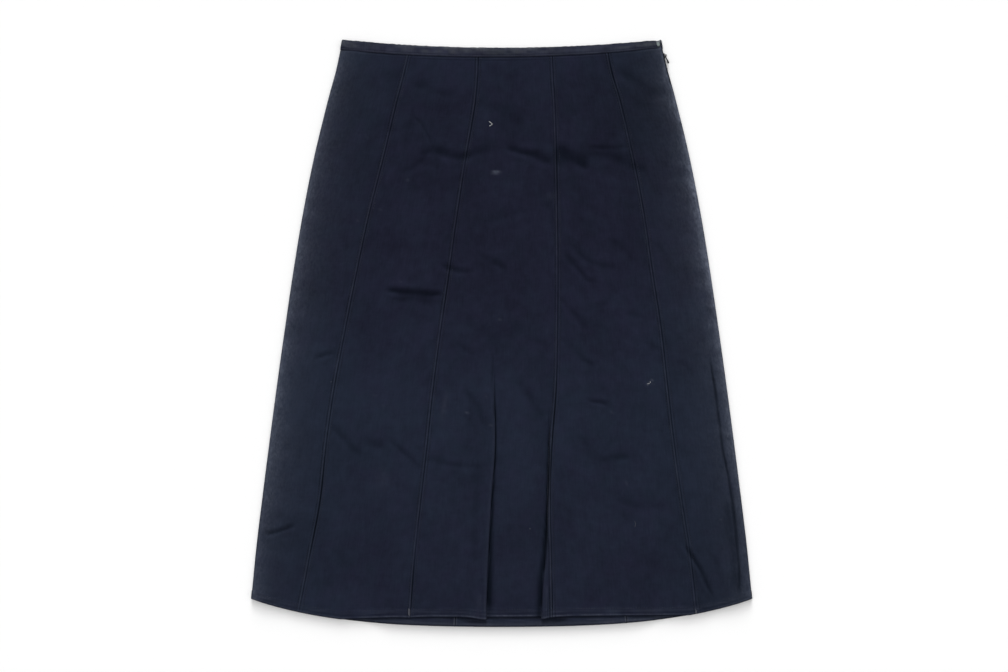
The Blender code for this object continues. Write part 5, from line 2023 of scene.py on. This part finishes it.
# %% Zip pull
PULL_PIVOT = frame["joints"][0]["pos_m"]
PULL_HANG = -70            # the pull hangs at this angle, a little outwards from straight down
pull_place = Matrix.Translation(PULL_PIVOT) @ Matrix.Rotation(math.radians(PULL_HANG), 4, "Z")
head = bar([(0, 0, z) for z in (-1.45, -1.2, 0, 1.2, 1.45)],
           [(0.40, 0.40), (0.62, 0.62), (0.56, 0.56), (0.62, 0.62), (0.40, 0.40)], up=(0, 1, 0))
cheeks = [bar(smooth_line(((0, 0, 1.2 * sign), (1.8, 0, 1.3 * sign), (3.4, 0, 1.1 * sign),
                           (4.9, 0.2, 0.3 * sign)), 4), (0.52, 0.36)) for sign in (-1, 1)]
drop_points = [(along, 0.45 * float(ease(along, 2, 7)), 0)
               for along in (3.5, 4.2, 5.2, 6.6, 7.8, 8.7, 9.3, 9.75, 9.95)]
drop = bar(drop_points, [(0.40, 0.9), (0.60, 1.2), (0.74, 1.4), (0.92, 1.5), (1.03, 1.5), (1.06, 1.45),
                         (0.94, 1.25), (0.66, 0.85), (0.34, 0.40)], sides=16)
pull = cast("zip_pull_casting", [head, drop] + cheeks, pull_place, metals["black enamel"])
settle(pull, "zip_pull", body="pull")

# %% [markdown]
# ## Hook and eye
# The waistband closes over the zip with a pressed hook on the front band and a wire eye on the back
# band, both dull plated and sewn on by hand. The eye is a bar bent round nearly into a ring. The hook
# is a flat tongue whose tip turns down into the eye. They are cast from bars as the slider was, and
# a few uneven stitches of navy thread hold their feet.

# %% Hook, eye and their stitches
HOOK_ROOT = 176.6
HOOK_LEVEL = 4.2
EYE_MIDDLE = 179.7
EYE_RADIUS = 2.1
EYE_LEVEL = 3
closure_y = float(waist_line(177)) - 4.3
eye_turns = np.radians(np.linspace(-150, 150, 28))
ring = np.stack([EYE_MIDDLE + EYE_RADIUS * np.cos(eye_turns), closure_y + EYE_RADIUS * np.sin(eye_turns),
                 np.full(len(eye_turns), EYE_LEVEL)], axis=-1)
eye = cast("eye_wire", [bar(ring, (0.44, 0.40))], Matrix.Identity(4), metals["dull plate"])
settle(eye, "eye")
tongue = smooth_line([(across, closure_y, HOOK_LEVEL + rise) for across, rise in
                      ((HOOK_ROOT, 0), (178.2, 0.05), (180, 0.1), (181.3, -0.05), (181.75, -0.45),
                       (181.3, -0.85))], 4)
tongue_widths = np.interp(np.linspace(0, 1, len(tongue)), (0, 0.3, 0.7, 1), (2.3, 2.1, 1.5, 0.9))
tongue_sizes = np.stack([tongue_widths, np.full(len(tongue), 0.26)], axis=-1)
hook = cast("hook_plate", [bar(tongue, tongue_sizes, sides=16, squareness=0.55)], Matrix.Identity(4),
            metals["dull plate"], softening=2)
settle(hook, "hook")
HAND_STITCHES = (          # start, top and end of each: across, up the skirt, height
    ((177.3, 333.9, 5.2), (177.6, 333.2, 5.6), (177.9, 332.5, 5.2)),
    ((178.2, 331.5, 5.2), (178.5, 330.8, 5.6), (178.8, 330.1, 5.2)),
    ((179.0, 329.6, 5.1), (179.3, 328.9, 5.6), (179.5, 328.1, 5.1)),
    ((180.4, 329.2, 5.0), (180.7, 328.6, 5.4), (181.0, 327.9, 5.0)),
    ((182.4, 331.5, 1.9), (181.5, 331.0, 3.6), (180.8, 330.8, 2.2)),
    ((182.5, 333.4, 1.9), (181.4, 333.6, 3.6), (180.7, 333.4, 2.2)),
    ((183.4, 328.6, 2.2), (183.7, 327.9, 2.7), (184.0, 327.2, 2.3)),
)
hook_stitches = join_bars(bar(smooth_line(stitch, 4), (STITCH_RADIUS, STITCH_RADIUS), sides=STITCH_SIDES)
                          for stitch in HAND_STITCHES)
settle(mesh_object("hook_stitches", *hook_stitches, threads["navy thread"]))
print("stitches at the hook and eye:", len(HAND_STITCHES))
